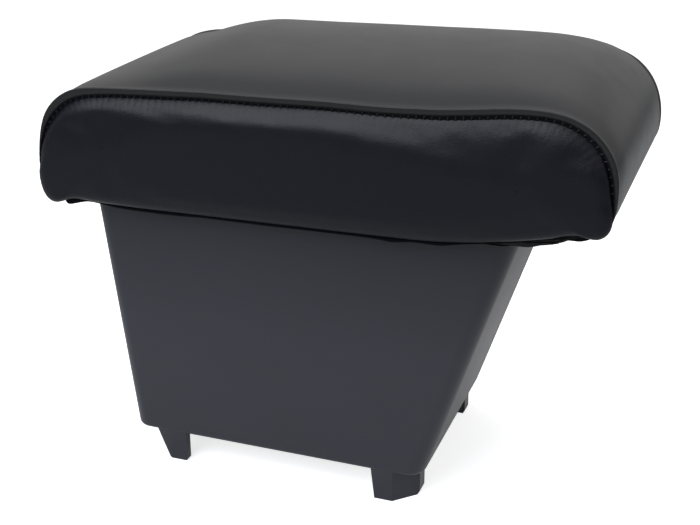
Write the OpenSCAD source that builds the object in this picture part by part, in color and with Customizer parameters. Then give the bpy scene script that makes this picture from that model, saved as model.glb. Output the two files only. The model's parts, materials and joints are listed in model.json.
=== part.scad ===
// Car centre armrest: an upholstered lid hinged on a tapered, moulded storage box.
// +X points to the front of the car, +Z up. The origin is under the middle, on the floor.

/* [Storage box] */
// Length of the box at its bottom
box_len = 164; // [120:1:200]
// Width of the box at its bottom
box_wid = 124; // [100:1:140]
// Height of the walls, from their bottom edge to the rim
box_h = 132.5; // [90:0.5:160]
// Outward lean of the front wall, in degrees
front_lean = 18.2; // [8:0.1:22]
// Outward lean of the rear wall, in degrees
rear_lean = 6.1; // [2:0.1:8]
// Outward draft of the two side walls, in degrees
side_draft = 1; // [0.5:0.1:2]
// Outer radius of the upright corners
corner_r = 9; // [5:0.5:12]
// Thickness of the walls and the floor
wall = 2.5; // [2:0.1:3]
// Height of the floor's underside above the wall's bottom edge
floor_raise = 4; // [3:0.5:6]
// Thickness of the ribs under the floor
rib_t = 1.8; // [1.2:0.1:2.5]
// Radius of the bottom edge and of the inner floor edge
edge_r = 1.5; // [1:0.1:2]
// Thickness of the loose mat on the floor
mat_t = 2; // [1:0.5:3]

/* [Feet] */
// Height of the four feet
foot_h = 17; // [10:0.5:25]
// Thickness of the feet
foot_t = 4.5; // [3:0.1:6]
// Width of a rear foot where it leaves the box
rear_foot_w = 17; // [12:0.5:22]
// Width of a rear foot at its bottom
rear_foot_end_w = 10.5; // [8:0.5:12]
// Distance from the rear of the box bottom to the nearest rear foot edge
rear_foot_in = 14; // [10:0.5:25]
// Length of a front corner foot along the side wall
front_foot_len = 24; // [20:0.5:30]
// Length of a front corner foot across the box
front_foot_wid = 20; // [18:0.5:26]
// Slanted corner cut of a front foot
foot_cut = 11.5; // [8:0.5:13]
// Step of a front foot behind the front wall
foot_step = 3.5; // [2:0.5:5]
// Step of the feet behind the face of the side wall
foot_side_step = 0.6; // [0.4:0.1:1]

/* [Fixing to the console] */
// Distance between the floor holes along the car
fix_x = 90; // [70:1:110]
// Distance between the floor holes across the car
fix_y = 64; // [50:1:80]
// Radius of the floor holes
fix_r = 2.75; // [2:0.05:3.5]

/* [Lid] */
// Overhang of the lid behind the hinge pin
rear_over = 19.7; // [16:0.1:24]
// Overhang of the lid in front of the front wall's rim
front_over = 45.6; // [38:0.2:55]
// Overhang of the lid's seams beside the side walls' rim
side_over = 10.7; // [9:0.1:14]
// Height of the seam line at the rear of the lid
rear_h = 54.5; // [45:0.5:70]
// Height of the seam line at the front of the lid
front_h = 64; // [50:0.5:80]
// Rise of the padding in the middle, above the seams
crown = 16; // [4:0.5:20]
// Bulge of the front end between the seams
end_bulge = 3.5; // [1:0.5:5]
// Radius of the rear top corner, seen from the side
rear_r = 25; // [15:1:35]
// Radius of the front top corner, seen from the side
front_r = 38; // [25:1:45]
// Radius where the ends roll under
under_r = 10; // [6:0.5:14]
// Length of the soft nose in front of the board
nose_len = 33; // [26:1:40]
// Rise of the lid's underside at the tip of the nose
nose_rise = 8; // [2:0.5:12]
// Drop of the side panels below the hem
skirt = 5.5; // [2:0.5:7]
// Outward bulge of the side panels over their lower edge
puff = 3; // [1:0.5:5]
// Height of the seam ridge over the side panel
ridge = 3.5; // [2:0.1:5]
// Thickness of the cover
cover_t = 1.2; // [0.9:0.1:1.6]
// Width of the cover turned under the board at the sides
hem_w = 13; // [10:0.5:16]
// Thickness of the plywood board
board_t = 6; // [5:0.5:9]
// Thickness of the felt board under the lid
liner_t = 2; // [1.5:0.1:3]
// Height of the rubber buffers
buffer_t = 1.2; // [1:0.1:2]

/* [Hinge] */
// Distance from each end of the hinge to the side of the box bottom
hinge_in = 12; // [10:0.5:18]
// Radius of the hinge knuckles
knuckle_r = 2.75; // [2.5:0.05:3]
// Radius of the hinge pin
pin_r = 1.25; // [1:0.05:1.4]
// Thickness of the hinge leaves
leaf_t = 1.2; // [1:0.1:1.5]
// Width of a hinge leaf from the pin
leaf_w = 22; // [18:1:26]

/* [Magnet catch] */
// Width of the catch housing
catch_w = 34; // [30:1:40]
// Depth of the catch housing
catch_d = 9; // [8:0.5:12]
// Height of the catch housing
catch_h = 12; // [10:0.5:15]
// Distance from the outer face of the front wall's rim to the catch pad
catch_in = 19.5; // [16:0.5:24]

/* [Hidden] */
$fn = 48;

// Clearances
run_gap = 0.05;
fit_gap = 0.3;
closed_gap = 0.3;
eps = 0.01;

// Heights above the floor, from the feet up
box_z = foot_h;
rim_z = box_z + box_h;
liner_z = rim_z + closed_gap + buffer_t;
pad_z = liner_z + liner_t;
board_z = pad_z + cover_t;
floor_z = box_z + floor_raise;
well_z = floor_z + wall;

// Height of the hinge axis, just under the board
hinge_z = board_z - fit_gap - knuckle_r;

// Lid ends: the lid's length follows from the box, its hinge and the two overhangs
rim_run = box_len + box_h * tan(front_lean) + (hinge_z - box_z) * tan(rear_lean);
pad_len = rear_over + knuckle_r / cos(rear_lean) + rim_run + front_over;
pad_wid = box_wid + 2 * (box_h * tan(side_draft) + side_over);
lid_rear = -pad_len / 2;
lid_front = pad_len / 2;
board_in = under_r + 0.5;
board_half_w = pad_wid / 2 - 8;
board_front = lid_front - nose_len;
board_r = 12;

// Hinge axis, outside the rear wall, and the box ends at the bottom edge of its walls
hinge_x = lid_rear + rear_over;
rear_x = hinge_x + knuckle_r / cos(rear_lean) + (hinge_z - box_z) * tan(rear_lean);
front_x = rear_x + box_len;
box_mid = (rear_x + front_x) / 2;

// Outer faces of the walls at height z
function front_face(z) = front_x + (z - box_z) * tan(front_lean);
function rear_face(z) = rear_x - (z - box_z) * tan(rear_lean);
function side_face(z) = box_wid / 2 + (z - box_z) * tan(side_draft);

// Arc of n + 1 points round a centre, in the plane of a and b
function arc(cx, cy, r, from, to, n) =
    [for (i = [0:n]) let (t = from + (to - from) * i / n) [cx + r * cos(t), cy + r * sin(t)]];

// Rounded rectangle as a ring of points at height z
function ring(x0, x1, y, r, z, n = 8) = [
    for (p = concat(
        arc(x1 - r, y - r, r, 0, 90, n),
        arc(x0 + r, y - r, r, 90, 180, n),
        arc(x0 + r, -y + r, r, 180, 270, n),
        arc(x1 - r, -y + r, r, 270, 360, n)
    )) [p[0], p[1], z]
];

// The box's outline at height z, moved in by inset
function box_ring(z, inset) =
    ring(rear_face(z) + inset, front_face(z) - inset, side_face(z) - inset,
        max(corner_r - inset, 1), z);

// Closed solid skinned over rings that have the same number of points
module skin(rings) {
    n = len(rings[0]);
    last = len(rings) - 1;
    sides = [
        for (i = [0:last - 1]) for (j = [0:n - 1])
            let (a = i * n + j, b = i * n + (j + 1) % n)
            each [[a, a + n, b + n], [a, b + n, b]]
    ];
    bottom = [for (j = [0:n - 1]) j];
    top = [for (j = [0:n - 1]) last * n + n - 1 - j];
    polyhedron([for (r = rings) each r], concat(sides, [bottom, top]), convexity = 6);
}

// Storage box

module box_outside() {
    skin([
        box_ring(box_z, edge_r),
        box_ring(box_z + edge_r * 0.3, edge_r * 0.3),
        box_ring(box_z + edge_r, 0),
        box_ring(rim_z, 0)
    ]);
}

module box_well() {
    skin([
        box_ring(well_z, wall + edge_r),
        box_ring(well_z + edge_r * 0.3, wall + edge_r * 0.3),
        box_ring(well_z + edge_r, wall),
        box_ring(rim_z + 1, wall)
    ]);
}

module box_underside() {
    skin([
        box_ring(box_z - 1, wall),
        box_ring(floor_z, wall)
    ]);
}

// Ribs and screw bosses that stiffen the raised floor from below
boss_r = 7;
rib_z = box_z + 0.8;
rib_rows = [-1, 0, 1];

module floor_ribs() {
    for (s = rib_rows)
        translate([rear_x + wall / 2, s * fix_y / 2 - rib_t / 2, rib_z])
            cube([box_len - wall, rib_t, floor_z - rib_z + eps]);
    for (s = rib_rows)
        translate([box_mid + s * fix_x / 2 - rib_t / 2, -box_wid / 2 + wall / 2, rib_z])
            cube([rib_t, box_wid - wall, floor_z - rib_z + eps]);
    each_fixing() translate([0, 0, box_z]) cylinder(r = boss_r, h = floor_raise + eps);
}

module each_fixing() {
    for (sx = [-1, 1], sy = [-1, 1])
        translate([box_mid + sx * fix_x / 2, sy * fix_y / 2, 0]) children();
}

// Feet moulded on as tongues that step back from the walls
foot_top = floor_z + wall / 2;

module rear_foot() {
    x0 = rear_x + rear_foot_in;
    x1 = x0 + rear_foot_w;
    slope = (rear_foot_w - rear_foot_end_w) / foot_h;
    translate([0, -box_wid / 2 + foot_side_step + foot_t, 0])
        rotate([90, 0, 0])
            linear_extrude(foot_t)
                polygon([
                    [x0 - slope * (foot_top - box_z), foot_top],
                    [x1 - rear_foot_end_w, 1],
                    [x1 - rear_foot_end_w + 1, 0],
                    [x1 - 0.7, 0],
                    [x1, 0.7],
                    [x1, foot_top]
                ]);
}

module front_foot_outline(inset) {
    x1 = front_x - foot_step - inset;
    y0 = -box_wid / 2 + foot_side_step + inset;
    x0 = front_x - foot_step - front_foot_len;
    y1 = -box_wid / 2 + foot_side_step + front_foot_wid;
    cut = foot_cut - inset * (2 - sqrt(2));
    over = inset > 0 ? 1 : 0;
    polygon([
        [x0 - over, y0],
        [x1 - cut, y0],
        [x1, y0 + cut],
        [x1, y1 + over],
        [x0 - over, y1 + over]
    ]);
}

module front_foot() {
    x0 = front_x - foot_step - front_foot_len;
    taper = 2.7;
    intersection() {
        difference() {
            linear_extrude(foot_top) front_foot_outline(0);
            translate([0, 0, -1]) linear_extrude(foot_top + 2) front_foot_outline(foot_t);
        }
        rotate([90, 0, 0])
            linear_extrude(box_wid)
                    polygon([
                        [x0, foot_top],
                        [x0 + taper, 0],
                        [front_x - foot_step - 1, 0],
                        [front_x - foot_step, 1.6],
                        [front_x - foot_step, foot_top]
                    ]);
    }
}

// Upright pad on the leaning front wall that carries the catch, cored out behind
catch_x = front_face(rim_z) - catch_in;
catch_top = rim_z - 1.5;
catch_half_w = catch_w / 2 + 2;

module wall_wedge(x0, top, half_w, back) {
    low = box_z + (x0 + back - front_x) / tan(front_lean);
    translate([0, half_w, 0])
        rotate([90, 0, 0])
            linear_extrude(half_w * 2)
                polygon([[x0, low], [front_face(top) - back, top], [x0, top]]);
}

module catch_pad() {
    difference() {
        wall_wedge(catch_x, catch_top, catch_half_w, wall / 2);
        wall_wedge(catch_x + wall, rim_z, catch_half_w - wall, 0);
    }
}

catch_z = rim_z - 0.5 - catch_h;
catch_screw_in = 4.5;
catch_screw_y = catch_w / 2 - catch_screw_in;
catch_screw_r = 1.4;
small_head_r = 2.4;

module each_catch_screw() {
    for (s = [-1, 1])
        translate([catch_x, s * catch_screw_y, catch_z + catch_h / 2]) rotate([0, 90, 0]) children();
}

// Frame of the hinge axis, turned so that the rear wall is upright in it
module on_rear_wall() {
    translate([hinge_x, 0, hinge_z]) rotate([0, -rear_lean, 0]) children();
}

hinge_len = box_wid - 2 * hinge_in;
rivet_r = 1.9;
rivet_drop = 13;
rivet_y = [-0.36 * hinge_len, 0, 0.36 * hinge_len];
wall_across = wall * cos(rear_lean);

module each_rivet() {
    on_rear_wall()
        for (y = rivet_y)
            translate([knuckle_r, y, -rivet_drop]) rotate([0, 90, 0]) children();
}

module storage_box() {
    color("#2a2b2d")
    difference() {
        union() {
            difference() {
                box_outside();
                box_well();
                box_underside();
            }
            floor_ribs();
            catch_pad();
            for (s = [0, 1])
                mirror([0, s, 0]) {
                    rear_foot();
                    front_foot();
                }
        }
        each_fixing() translate([0, 0, box_z - 1]) cylinder(r = fix_r, h = floor_raise + wall + 2);
        each_rivet() translate([0, 0, -leaf_t - 1]) cylinder(r = rivet_r + run_gap, h = wall + leaf_t + 3);
        each_catch_screw() translate([0, 0, -1]) cylinder(r = catch_screw_r + run_gap, h = wall + 2);
    }
}

mat_gap = 0.4;
mat_hole_r = 6.5;

module floor_mat() {
    z = well_z;
    inset = wall + edge_r + mat_gap;
    color("#1b1c1e")
    difference() {
        skin([box_ring(z, inset), box_ring(z + mat_t, inset)]);
        each_fixing() translate([0, 0, z - 1]) cylinder(r = mat_hole_r, h = mat_t + 2);
    }
}

// Hinge: two steel leaves on one pin

knuckles = 5;
knuckle_len = hinge_len / knuckles;
knuckle_gap = 0.15;
leaf_start = knuckle_r + 0.5;

module knuckle_set(first) {
    for (i = [first:2:knuckles - 1])
        translate([0, -hinge_len / 2 + i * knuckle_len + knuckle_gap, 0]) children();
}

module knuckle(tab_x0, tab_x1, tab_z0, tab_z1) {
    len = knuckle_len - 2 * knuckle_gap;
    rotate([-90, 0, 0]) cylinder(r = knuckle_r, h = len);
    translate([tab_x0, 0, tab_z0]) cube([tab_x1 - tab_x0, len, tab_z1 - tab_z0]);
}

module pin_bore() {
    translate([0, -hinge_len, 0])
        rotate([-90, 0, 0]) cylinder(r = pin_r + run_gap, h = hinge_len * 2);
}

module hinge_leaf_box() {
    color("#8d9094")
    difference() {
        on_rear_wall()
            difference() {
                union() {
                    knuckle_set(0) knuckle(knuckle_r - leaf_t, knuckle_r, -leaf_start - 1, 0);
                    translate([knuckle_r - leaf_t, -hinge_len / 2, -leaf_w])
                        cube([leaf_t, hinge_len, leaf_w - leaf_start]);
                }
                pin_bore();
            }
        each_rivet() translate([0, 0, -leaf_t - 1]) cylinder(r = rivet_r + run_gap, h = leaf_t + 2);
    }
}

module hinge_rivets() {
    head_r = 3.6;
    head_t = 1.1;
    color("#a9acb0")
    each_rivet()
        rotate_extrude()
            polygon([
                [0, -leaf_t - head_t],
                [head_r * 0.55, -leaf_t - head_t],
                [head_r * 0.9, -leaf_t - head_t * 0.55],
                [head_r, -leaf_t],
                [rivet_r, -leaf_t],
                [rivet_r, wall_across],
                [head_r, wall_across],
                [head_r * 0.85, wall_across + head_t],
                [0, wall_across + head_t]
            ]);
}

module hinge_pin() {
    head_t = 0.9;
    head_r = pin_r + 0.6;
    color("#b5b8bc")
    translate([hinge_x, -hinge_len / 2, hinge_z])
        rotate([-90, 0, 0])
            rotate_extrude()
                polygon([
                    [0, -head_t],
                    [head_r - 0.4, -head_t],
                    [head_r, -head_t + 0.4],
                    [head_r, 0],
                    [pin_r, 0],
                    [pin_r, hinge_len],
                    [head_r, hinge_len],
                    [head_r, hinge_len + head_t - 0.4],
                    [head_r - 0.4, hinge_len + head_t],
                    [0, hinge_len + head_t]
                ]);
}

lid_screw_r = 1.6;
lid_screw_head_r = 3.2;
lid_screw_x = hinge_x + leaf_w - 7.5;

module each_lid_screw() {
    for (y = rivet_y)
        translate([lid_screw_x, y, board_z - leaf_t]) children();
}

// Countersunk screw, point up, its head flush with the plane z = 0
module countersunk(r, head_r, len) {
    sink = head_r - r;
    rotate_extrude()
        polygon([[0, 0], [head_r, 0], [head_r, 0.2], [r, sink + 0.2], [r, len - r], [0, len]]);
}

// The hole that such a screw needs, with a tight fit on its shank
module countersink(r, head_r, len) {
    sink = head_r - r;
    rotate_extrude()
        polygon([
            [0, -1],
            [head_r + run_gap, -1],
            [head_r + run_gap, 0.2],
            [r + run_gap, sink + 0.2],
            [r + run_gap, len + 0.5],
            [0, len + 0.5]
        ]);
}

module hinge_leaf_lid() {
    color("#8d9094")
    difference() {
        translate([hinge_x, 0, hinge_z])
            difference() {
                union() {
                    knuckle_set(1)
                        knuckle(0, leaf_start + 1, board_z - hinge_z - leaf_t, board_z - hinge_z);
                    translate([leaf_start, -hinge_len / 2, board_z - hinge_z - leaf_t])
                        cube([leaf_w - leaf_start, hinge_len, leaf_t]);
                }
                pin_bore();
            }
        each_lid_screw() countersink(lid_screw_r, lid_screw_head_r, leaf_t + 1);
    }
}

lid_screw_len = leaf_t + board_t - 1;

module hinge_lid_screws() {
    color("#a9acb0") each_lid_screw() countersunk(lid_screw_r, lid_screw_head_r, lid_screw_len);
}

// Magnet catch on the front pad, and its strike plate under the lid

magnet_side = 9.3;
magnet_len = catch_w - 2 * magnet_side;
magnet_t = 3;
pole_t = 1.2;
pocket_gap = 0.1;
pocket_d = magnet_t + 2 * pole_t + 2 * pocket_gap;
pocket_floor = 2.5;
catch_mid_x = catch_x - catch_d / 2;

module catch_housing() {
    color("#1f2022")
    difference() {
        translate([catch_x - catch_d, -catch_w / 2, catch_z])
            cube([catch_d, catch_w, catch_h]);
        translate([catch_mid_x - pocket_d / 2, -magnet_len / 2 - pocket_gap, catch_z + pocket_floor])
            cube([pocket_d, magnet_len + 2 * pocket_gap, catch_h]);
        each_catch_screw()
            translate([0, 0, -catch_d - 1])
                cylinder(r = catch_screw_r + run_gap, h = catch_d + 2);
    }
}

module catch_magnet() {
    color("#4a4c50")
    translate([catch_mid_x - magnet_t / 2, -magnet_len / 2, catch_z + pocket_floor])
        cube([magnet_t, magnet_len, catch_h - pocket_floor - 1]);
}

module catch_pole_plates() {
    color("#9a9da1")
    for (s = [-1, 1])
        translate([catch_mid_x + s * (magnet_t + pole_t) / 2 - pole_t / 2, -magnet_len / 2,
                catch_z + pocket_floor])
            cube([pole_t, magnet_len, rim_z - catch_z - pocket_floor]);
}

module catch_screws() {
    head_r = 2.8;
    head_t = 1.8;
    color("#a9acb0")
    each_catch_screw()
        rotate_extrude()
            polygon([
                [0, -catch_d - head_t],
                [head_r * 0.7, -catch_d - head_t],
                [head_r, -catch_d - head_t * 0.4],
                [head_r, -catch_d],
                [catch_screw_r, -catch_d],
                [catch_screw_r, wall + 2],
                [0, wall + 3.4]
            ]);
}

strike_t = 1.2;
strike_d = 14;
strike_side = 3;
strike_w = catch_w + 2 * strike_side;
strike_screw_in = 5;
strike_screw_y = strike_w / 2 - strike_screw_in;
strike_z = liner_z - strike_t;

module each_strike_screw() {
    for (s = [-1, 1])
        translate([catch_mid_x, s * strike_screw_y, strike_z]) children();
}

module strike_plate() {
    color("#9a9da1")
    difference() {
        translate([catch_mid_x - strike_d / 2, -strike_w / 2, strike_z])
            cube([strike_d, strike_w, strike_t]);
        each_strike_screw() countersink(catch_screw_r, small_head_r, strike_t + 1);
    }
}

screw_cover = 1.5;
strike_screw_len = strike_t + liner_t + cover_t + board_t - screw_cover;

module strike_screws() {
    color("#a9acb0") each_strike_screw() countersunk(catch_screw_r, small_head_r, strike_screw_len);
}

// Lid: board, liner and their fasteners

liner_rear = hinge_x + knuckle_r + 1.5;
liner_front = board_front - 1;
liner_half_w = board_half_w - 1;
liner_screw_rear = 8;
liner_screw_front = 14;
liner_screw_side = 4;
liner_screw_x = [liner_rear + leaf_w + liner_screw_rear, liner_front - liner_screw_front];
liner_screw_y = liner_half_w - hem_w - liner_screw_side;
liner_head_r = 2.8;

module each_liner_screw() {
    for (x = [liner_screw_x[0], (liner_screw_x[0] + liner_screw_x[1]) / 2, liner_screw_x[1]])
        for (s = [-1, 1])
            translate([x, s * liner_screw_y, liner_z]) children();
}

module lid_board() {
    color("#b08d5c")
    difference() {
        skin([
            ring(lid_rear + board_in, board_front, board_half_w, board_r, board_z),
            ring(lid_rear + board_in, board_front, board_half_w, board_r, board_z + board_t)
        ]);
        each_lid_screw() countersink(lid_screw_r, lid_screw_head_r, lid_screw_len);
        each_strike_screw() cylinder(r = catch_screw_r + run_gap, h = strike_screw_len + 0.5);
        each_liner_screw() cylinder(r = catch_screw_r + run_gap, h = liner_screw_len + 0.5);
    }
}

module lid_liner() {
    color("#232426")
    difference() {
        skin([
            ring(liner_rear, liner_front, liner_half_w, board_r - 2, liner_z),
            ring(liner_rear, liner_front, liner_half_w, board_r - 2, pad_z)
        ]);
        each_liner_screw() countersink(catch_screw_r, liner_head_r, liner_t + 1);
        each_strike_screw() cylinder(r = catch_screw_r + run_gap, h = strike_screw_len);
    }
}

liner_screw_len = liner_t + cover_t + board_t - screw_cover;

module liner_screws() {
    color("#3a3b3d") each_liner_screw() countersunk(catch_screw_r, liner_head_r, liner_screw_len);
}

buffer_r = 2.4;
buffer_in = 47;
buffer_x = [rear_face(rim_z) + buffer_in, front_face(rim_z) - buffer_in + 6];

module lid_buffers() {
    y = side_face(rim_z) - wall / 2;
    color("#151515")
    for (x = buffer_x, s = [-1, 1])
        translate([x, s * y, liner_z - buffer_t]) cylinder(r = buffer_r, h = buffer_t);
}

// Padding and covers

// Arc at corner b between lines a-b and b-c, as [x, z, normal x, normal z]
function corner(a, b, c, r, n) =
    let (
        d1 = (b - a) / norm(b - a),
        d2 = (c - b) / norm(c - b),
        n1 = [-d1[1], d1[0]],
        a1 = atan2(n1[1], n1[0]),
        turn = acos(max(-1, min(1, d1 * d2))),
        m = b - d1 * r * tan(turn / 2) - n1 * r
    )
    [for (i = [0:n]) let (t = a1 - turn * i / n) [m[0] + r * cos(t), m[1] + r * sin(t), cos(t), sin(t)]];

// Points strictly between two outline points, with the first one's normal
function between(p, q, n) =
    [for (i = [1:n - 1]) let (t = i / n) [p[0] + (q[0] - p[0]) * t, p[1] + (q[1] - p[1]) * t, q[2], q[3]]];

// Side outline of the lid from under its rear, over the top, to under its front
function side_outline(inset, low, under) =
    let (
        x0 = lid_rear + inset,
        x1 = lid_front - inset,
        v = [
            [x0 + under + 20, low], [x0, low], [x0, rear_h - inset],
            [x1, front_h - inset], [x1, low + nose_rise],
            [board_front + 4, low], [board_front - 12, low]
        ],
        c1 = corner(v[0], v[1], v[2], under, 5),
        c2 = corner(v[1], v[2], v[3], rear_r - inset, 8),
        c3 = corner(v[2], v[3], v[4], front_r - inset, 10),
        c4 = corner(v[3], v[4], v[5], under, 5),
        c5 = corner(v[4], v[5], v[6], 12, 2)
    )
    concat(
        c1, between(c1[5], c2[0], 3), c2, between(c2[8], c3[0], 10), c3,
        between(c3[10], c4[0], 3), c4, between(c4[5], c5[0], 3), c5
    );

// How strongly the padding bulges at an outline point: the crown fades slowly
// to the rear and quickly to the front
crown_fade = 110;
function smooth(t) = let (c = min(1, max(0, t))) c * c * (3 - 2 * c);
function bulge(p) =
    let (
        run = smooth((p[0] - lid_rear) / crown_fade) * (1 - pow(max(0, p[0]) / lid_front, 6)),
        end = p[0] > 0 ? end_bulge : 0.4 * end_bulge
    )
    max(crown * run * pow(max(0, p[3]), 0.7), end * smooth((p[1] - 8) / 34));

// Share of the bulge at a fraction t of the half width
function across(t) = 1 - pow(abs(t), 3.4);

function lift(p, d) = [p[0] + p[2] * d, p[1] + p[3] * d];

// Side panel: rings from its edge inside the ridge towards a spine along its middle

side_half = pad_wid / 2 - 1.5;
spine_z = 30;
spine_in = 42;
bend_in = 100;
bend_r = 150;
panel_steps = [0, 0.05, 0.14, 0.28, 0.5, 0.8];

function panel_outline() =
    let (
        i = ridge + 0.3,
        x0 = lid_rear + i,
        x1 = lid_front - i,
        v = [
            [x0, -skirt], [x0, rear_h - i], [x1, front_h - i],
            [x1, nose_rise - 2], [lid_front - bend_in, -skirt]
        ],
        r = [under_r - 2, rear_r - i, front_r - i, under_r - 2, bend_r],
        n = [4, 8, 10, 4, 4],
        c = [for (k = [0:4]) corner(v[(k + 4) % 5], v[k], v[(k + 1) % 5], r[k], n[k])]
    )
    concat(
        c[0], between(c[0][4], c[1][0], 3), c[1], between(c[1][8], c[2][0], 8),
        c[2], between(c[2][10], c[3][0], 3), c[3], between(c[3][4], c[4][0], 4),
        c[4], between(c[4][4], c[0][0], 6)
    );

// Ring f of the panel: from its edge (0) towards the spine (1)
function panel_ring(f, t) = [
    for (p = panel_outline())
        let (
            sx = max(lid_rear + spine_in, min(lid_front - spine_in, p[0])),
            edge = side_half + puff * (smooth((p[1] + skirt) / 22) - 1),
            reach = 1 - min(1, f / 0.5),
            y = edge + (pad_wid / 2 + 1.2 - edge) * sqrt(1 - reach * reach)
        )
        [p[0] + (sx - p[0]) * f, -y + t, p[1] + (spine_z - p[1]) * f + pad_z]
];

// Foam: slices across the lid, each the side outline raised by the crown

foam_in = cover_t + fit_gap;

function foam_slice(y, inset, rise) = [
    for (p = side_outline(inset, cover_t + fit_gap, under_r - foam_in))
        let (q = lift(p, bulge(p) * rise))
        [q[0], y, q[1] + pad_z]
];

// Foam behind one side panel, from inside the middle block out to the cover
module foam_side(inner_y) {
    f0 = 0.06;
    difference() {
        skin(concat(
            [for (k = [len(panel_steps) - 1:-1:2]) panel_ring(panel_steps[k], foam_in)],
            [panel_ring(f0, foam_in)],
            [[for (p = panel_ring(f0, 0)) [p[0], -inner_y, p[2]]]]
        ));
        translate([lid_rear, -pad_wid, 0]) cube([pad_len, pad_wid * 2, pad_z + 6]);
        translate([board_front, -pad_wid, 0])
            cube([nose_len, pad_wid * 2, pad_z + nose_rise + 5]);
    }
}

module foam_pad() {
    steps = [0, 0.2, 0.4, 0.6, 0.76, 0.88, 1];
    edge = board_half_w - 0.6;
    half = [
        for (t = steps) foam_slice(edge * t, foam_in + 0.6, across(edge * t * 2 / pad_wid))
    ];
    n = len(half);
    mirrored = [for (i = [n - 1:-1:1]) [for (p = half[i]) [p[0], -p[1], p[2]]]];
    color("#d8cfa8")
    difference() {
        union() {
            skin(concat(mirrored, half));
            for (s = [0, 1]) mirror([0, s, 0]) foam_side(edge - 1);
        }
        translate([0, 0, -1])
            linear_extrude(board_z + board_t + 1)
                offset(delta = 0.2)
                    polygon([for (p = ring(lid_rear + board_in, board_front,
                        board_half_w, board_r, 0)) [p[0], p[1]]]);
    }
}

// Top cover: one sheet over the top and both ends, turned under the board,
// with its two long edges rolled down into the seam ridges

rear_hem_x = hinge_x - knuckle_r - 1.1;
front_hem_x = board_front - 12;

// Columns across the sheet near its edge: distance in from the edge and depth of the
// outer face, then of the inner face, both where the edge is rolled down
edge_columns = [
    [0, ridge, cover_t, ridge],
    [0.1, ridge * 0.45, cover_t + 0.1, ridge * 0.65],
    [0.5, ridge * 0.14, cover_t + 0.35, cover_t + ridge * 0.12],
    [1.5, 0, cover_t + 1, cover_t],
    [4, 0, 4.2, cover_t]
];
// Columns farther in, as fractions of the half width
mid_columns = [0.88, 0.76, 0.58, 0.36, 0.12];

function column(i, half) =
    i < 5 ? edge_columns[i] : let (e = half * (1 - mid_columns[i - 5])) [e, 0, e, cover_t];

function cover_row(p, inner, half) = [
    for (s = [-1, 1])
        for (i = s < 0 ? [0:9] : [9:-1:0])
            let (
                c = column(i, half),
                roll = min(1, max(0, p[1] / 8)),
                e = inner ? c[0] + (c[2] - c[0]) * roll : c[0],
                down = inner ? cover_t + (c[3] - cover_t) * roll : c[1] * roll,
                q = lift(p, bulge(p) * across(1 - e / half) - down)
            )
            [q[0], s * (half - e), q[1] + pad_z]
];

// Height of the underside, and the sheet's half width: it narrows where it turns under
function low_at(x) = nose_rise * max(0, min(1, (x - board_front - 4) / (nose_len - 4)));
function cover_half(p) =
    let (roll = min(1, max(0, 1.35 - (p[1] - low_at(p[0])) / under_r)))
    pad_wid / 2 - (pad_wid / 2 - board_half_w - 1) * roll * roll;

// Closed sheet between two grids of points that lie over each other
module sheet(outside, inside) {
    rows = len(outside);
    n = len(outside[0]);
    m = rows * n;
    function quad(a, b, c, d) = [[a, c, b], [a, d, c]];
    faces = concat(
        [for (i = [0:rows - 2]) for (j = [0:n - 2]) let (a = i * n + j)
            each quad(a, a + n, a + n + 1, a + 1)],
        [for (i = [0:rows - 2]) for (j = [0:n - 2]) let (a = m + i * n + j)
            each quad(a, a + 1, a + n + 1, a + n)],
        [for (j = [0:n - 2]) let (b = (rows - 1) * n + j) each concat(
            quad(j, j + 1, m + j + 1, m + j),
            quad(b + 1, b, m + b, m + b + 1))],
        [for (i = [0:rows - 2]) let (a = i * n, b = i * n + n - 1) each concat(
            quad(a + n, a, m + a, m + a + n),
            quad(b, b + n, m + b + n, m + b))]
    );
    polyhedron([for (r = concat(outside, inside)) each r], faces, convexity = 6);
}

module top_cover() {
    path = concat([[rear_hem_x, 0, 0, -1]], side_outline(0, 0, under_r), [[front_hem_x, 0, 0, -1]]);
    last = len(path) - 1;
    hem_cut = 6;
    half = [for (i = [0:last]) cover_half(path[i]) - (i == 0 || i == last ? hem_cut : 0)];
    color("#26272a")
    sheet(
        [for (i = [0:last]) cover_row(path[i], false, half[i])],
        [for (i = [0:last]) cover_row(path[i], true, half[i])]
    );
}

// Side cover: a puffed panel inside the ridge, with a hem under the board

module right_side_cover() {
    last = len(panel_steps) - 1;
    color("#242529")
    union() {
        skin(concat(
            [for (k = [last:-1:0]) panel_ring(panel_steps[k], 0)],
            [for (f = panel_steps) panel_ring(f, cover_t)]
        ));
        translate([lid_rear + under_r + 8, -side_half - cover_t, pad_z])
            cube([board_front - lid_rear - under_r - 24, hem_w + side_half - board_half_w, cover_t]);
    }
}

module left_side_cover() {
    mirror([0, 1, 0]) right_side_cover();
}

// Staples through the hems into the board

staple_w = 10;
staple_wire = 0.6;
staple_leg = 5;
staple_pitch = 24;

module staple() {
    translate([-staple_w / 2, -staple_wire / 2, 0]) cube([staple_w, staple_wire, staple_wire]);
    for (s = [-1, 1])
        translate([s * (staple_w - staple_wire) / 2 - staple_wire / 2, -staple_wire / 2, 0])
            cube([staple_wire, staple_wire, staple_leg]);
}

module cover_staples() {
    count = 10;
    end_in = 14;
    x0 = lid_rear + board_in + end_in;
    run = board_front - end_in - x0;
    color("#9a9da1")
    translate([0, 0, pad_z]) {
        for (i = [0:count - 1], s = [-1, 1])
            translate([x0 + run * i / (count - 1), s * (board_half_w - 5), 0]) staple();
        for (i = [-2:2], x = [rear_hem_x - 3, front_hem_x + 4])
            translate([x, i * staple_pitch, 0]) rotate([0, 0, 90]) staple();
    }
}

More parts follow.
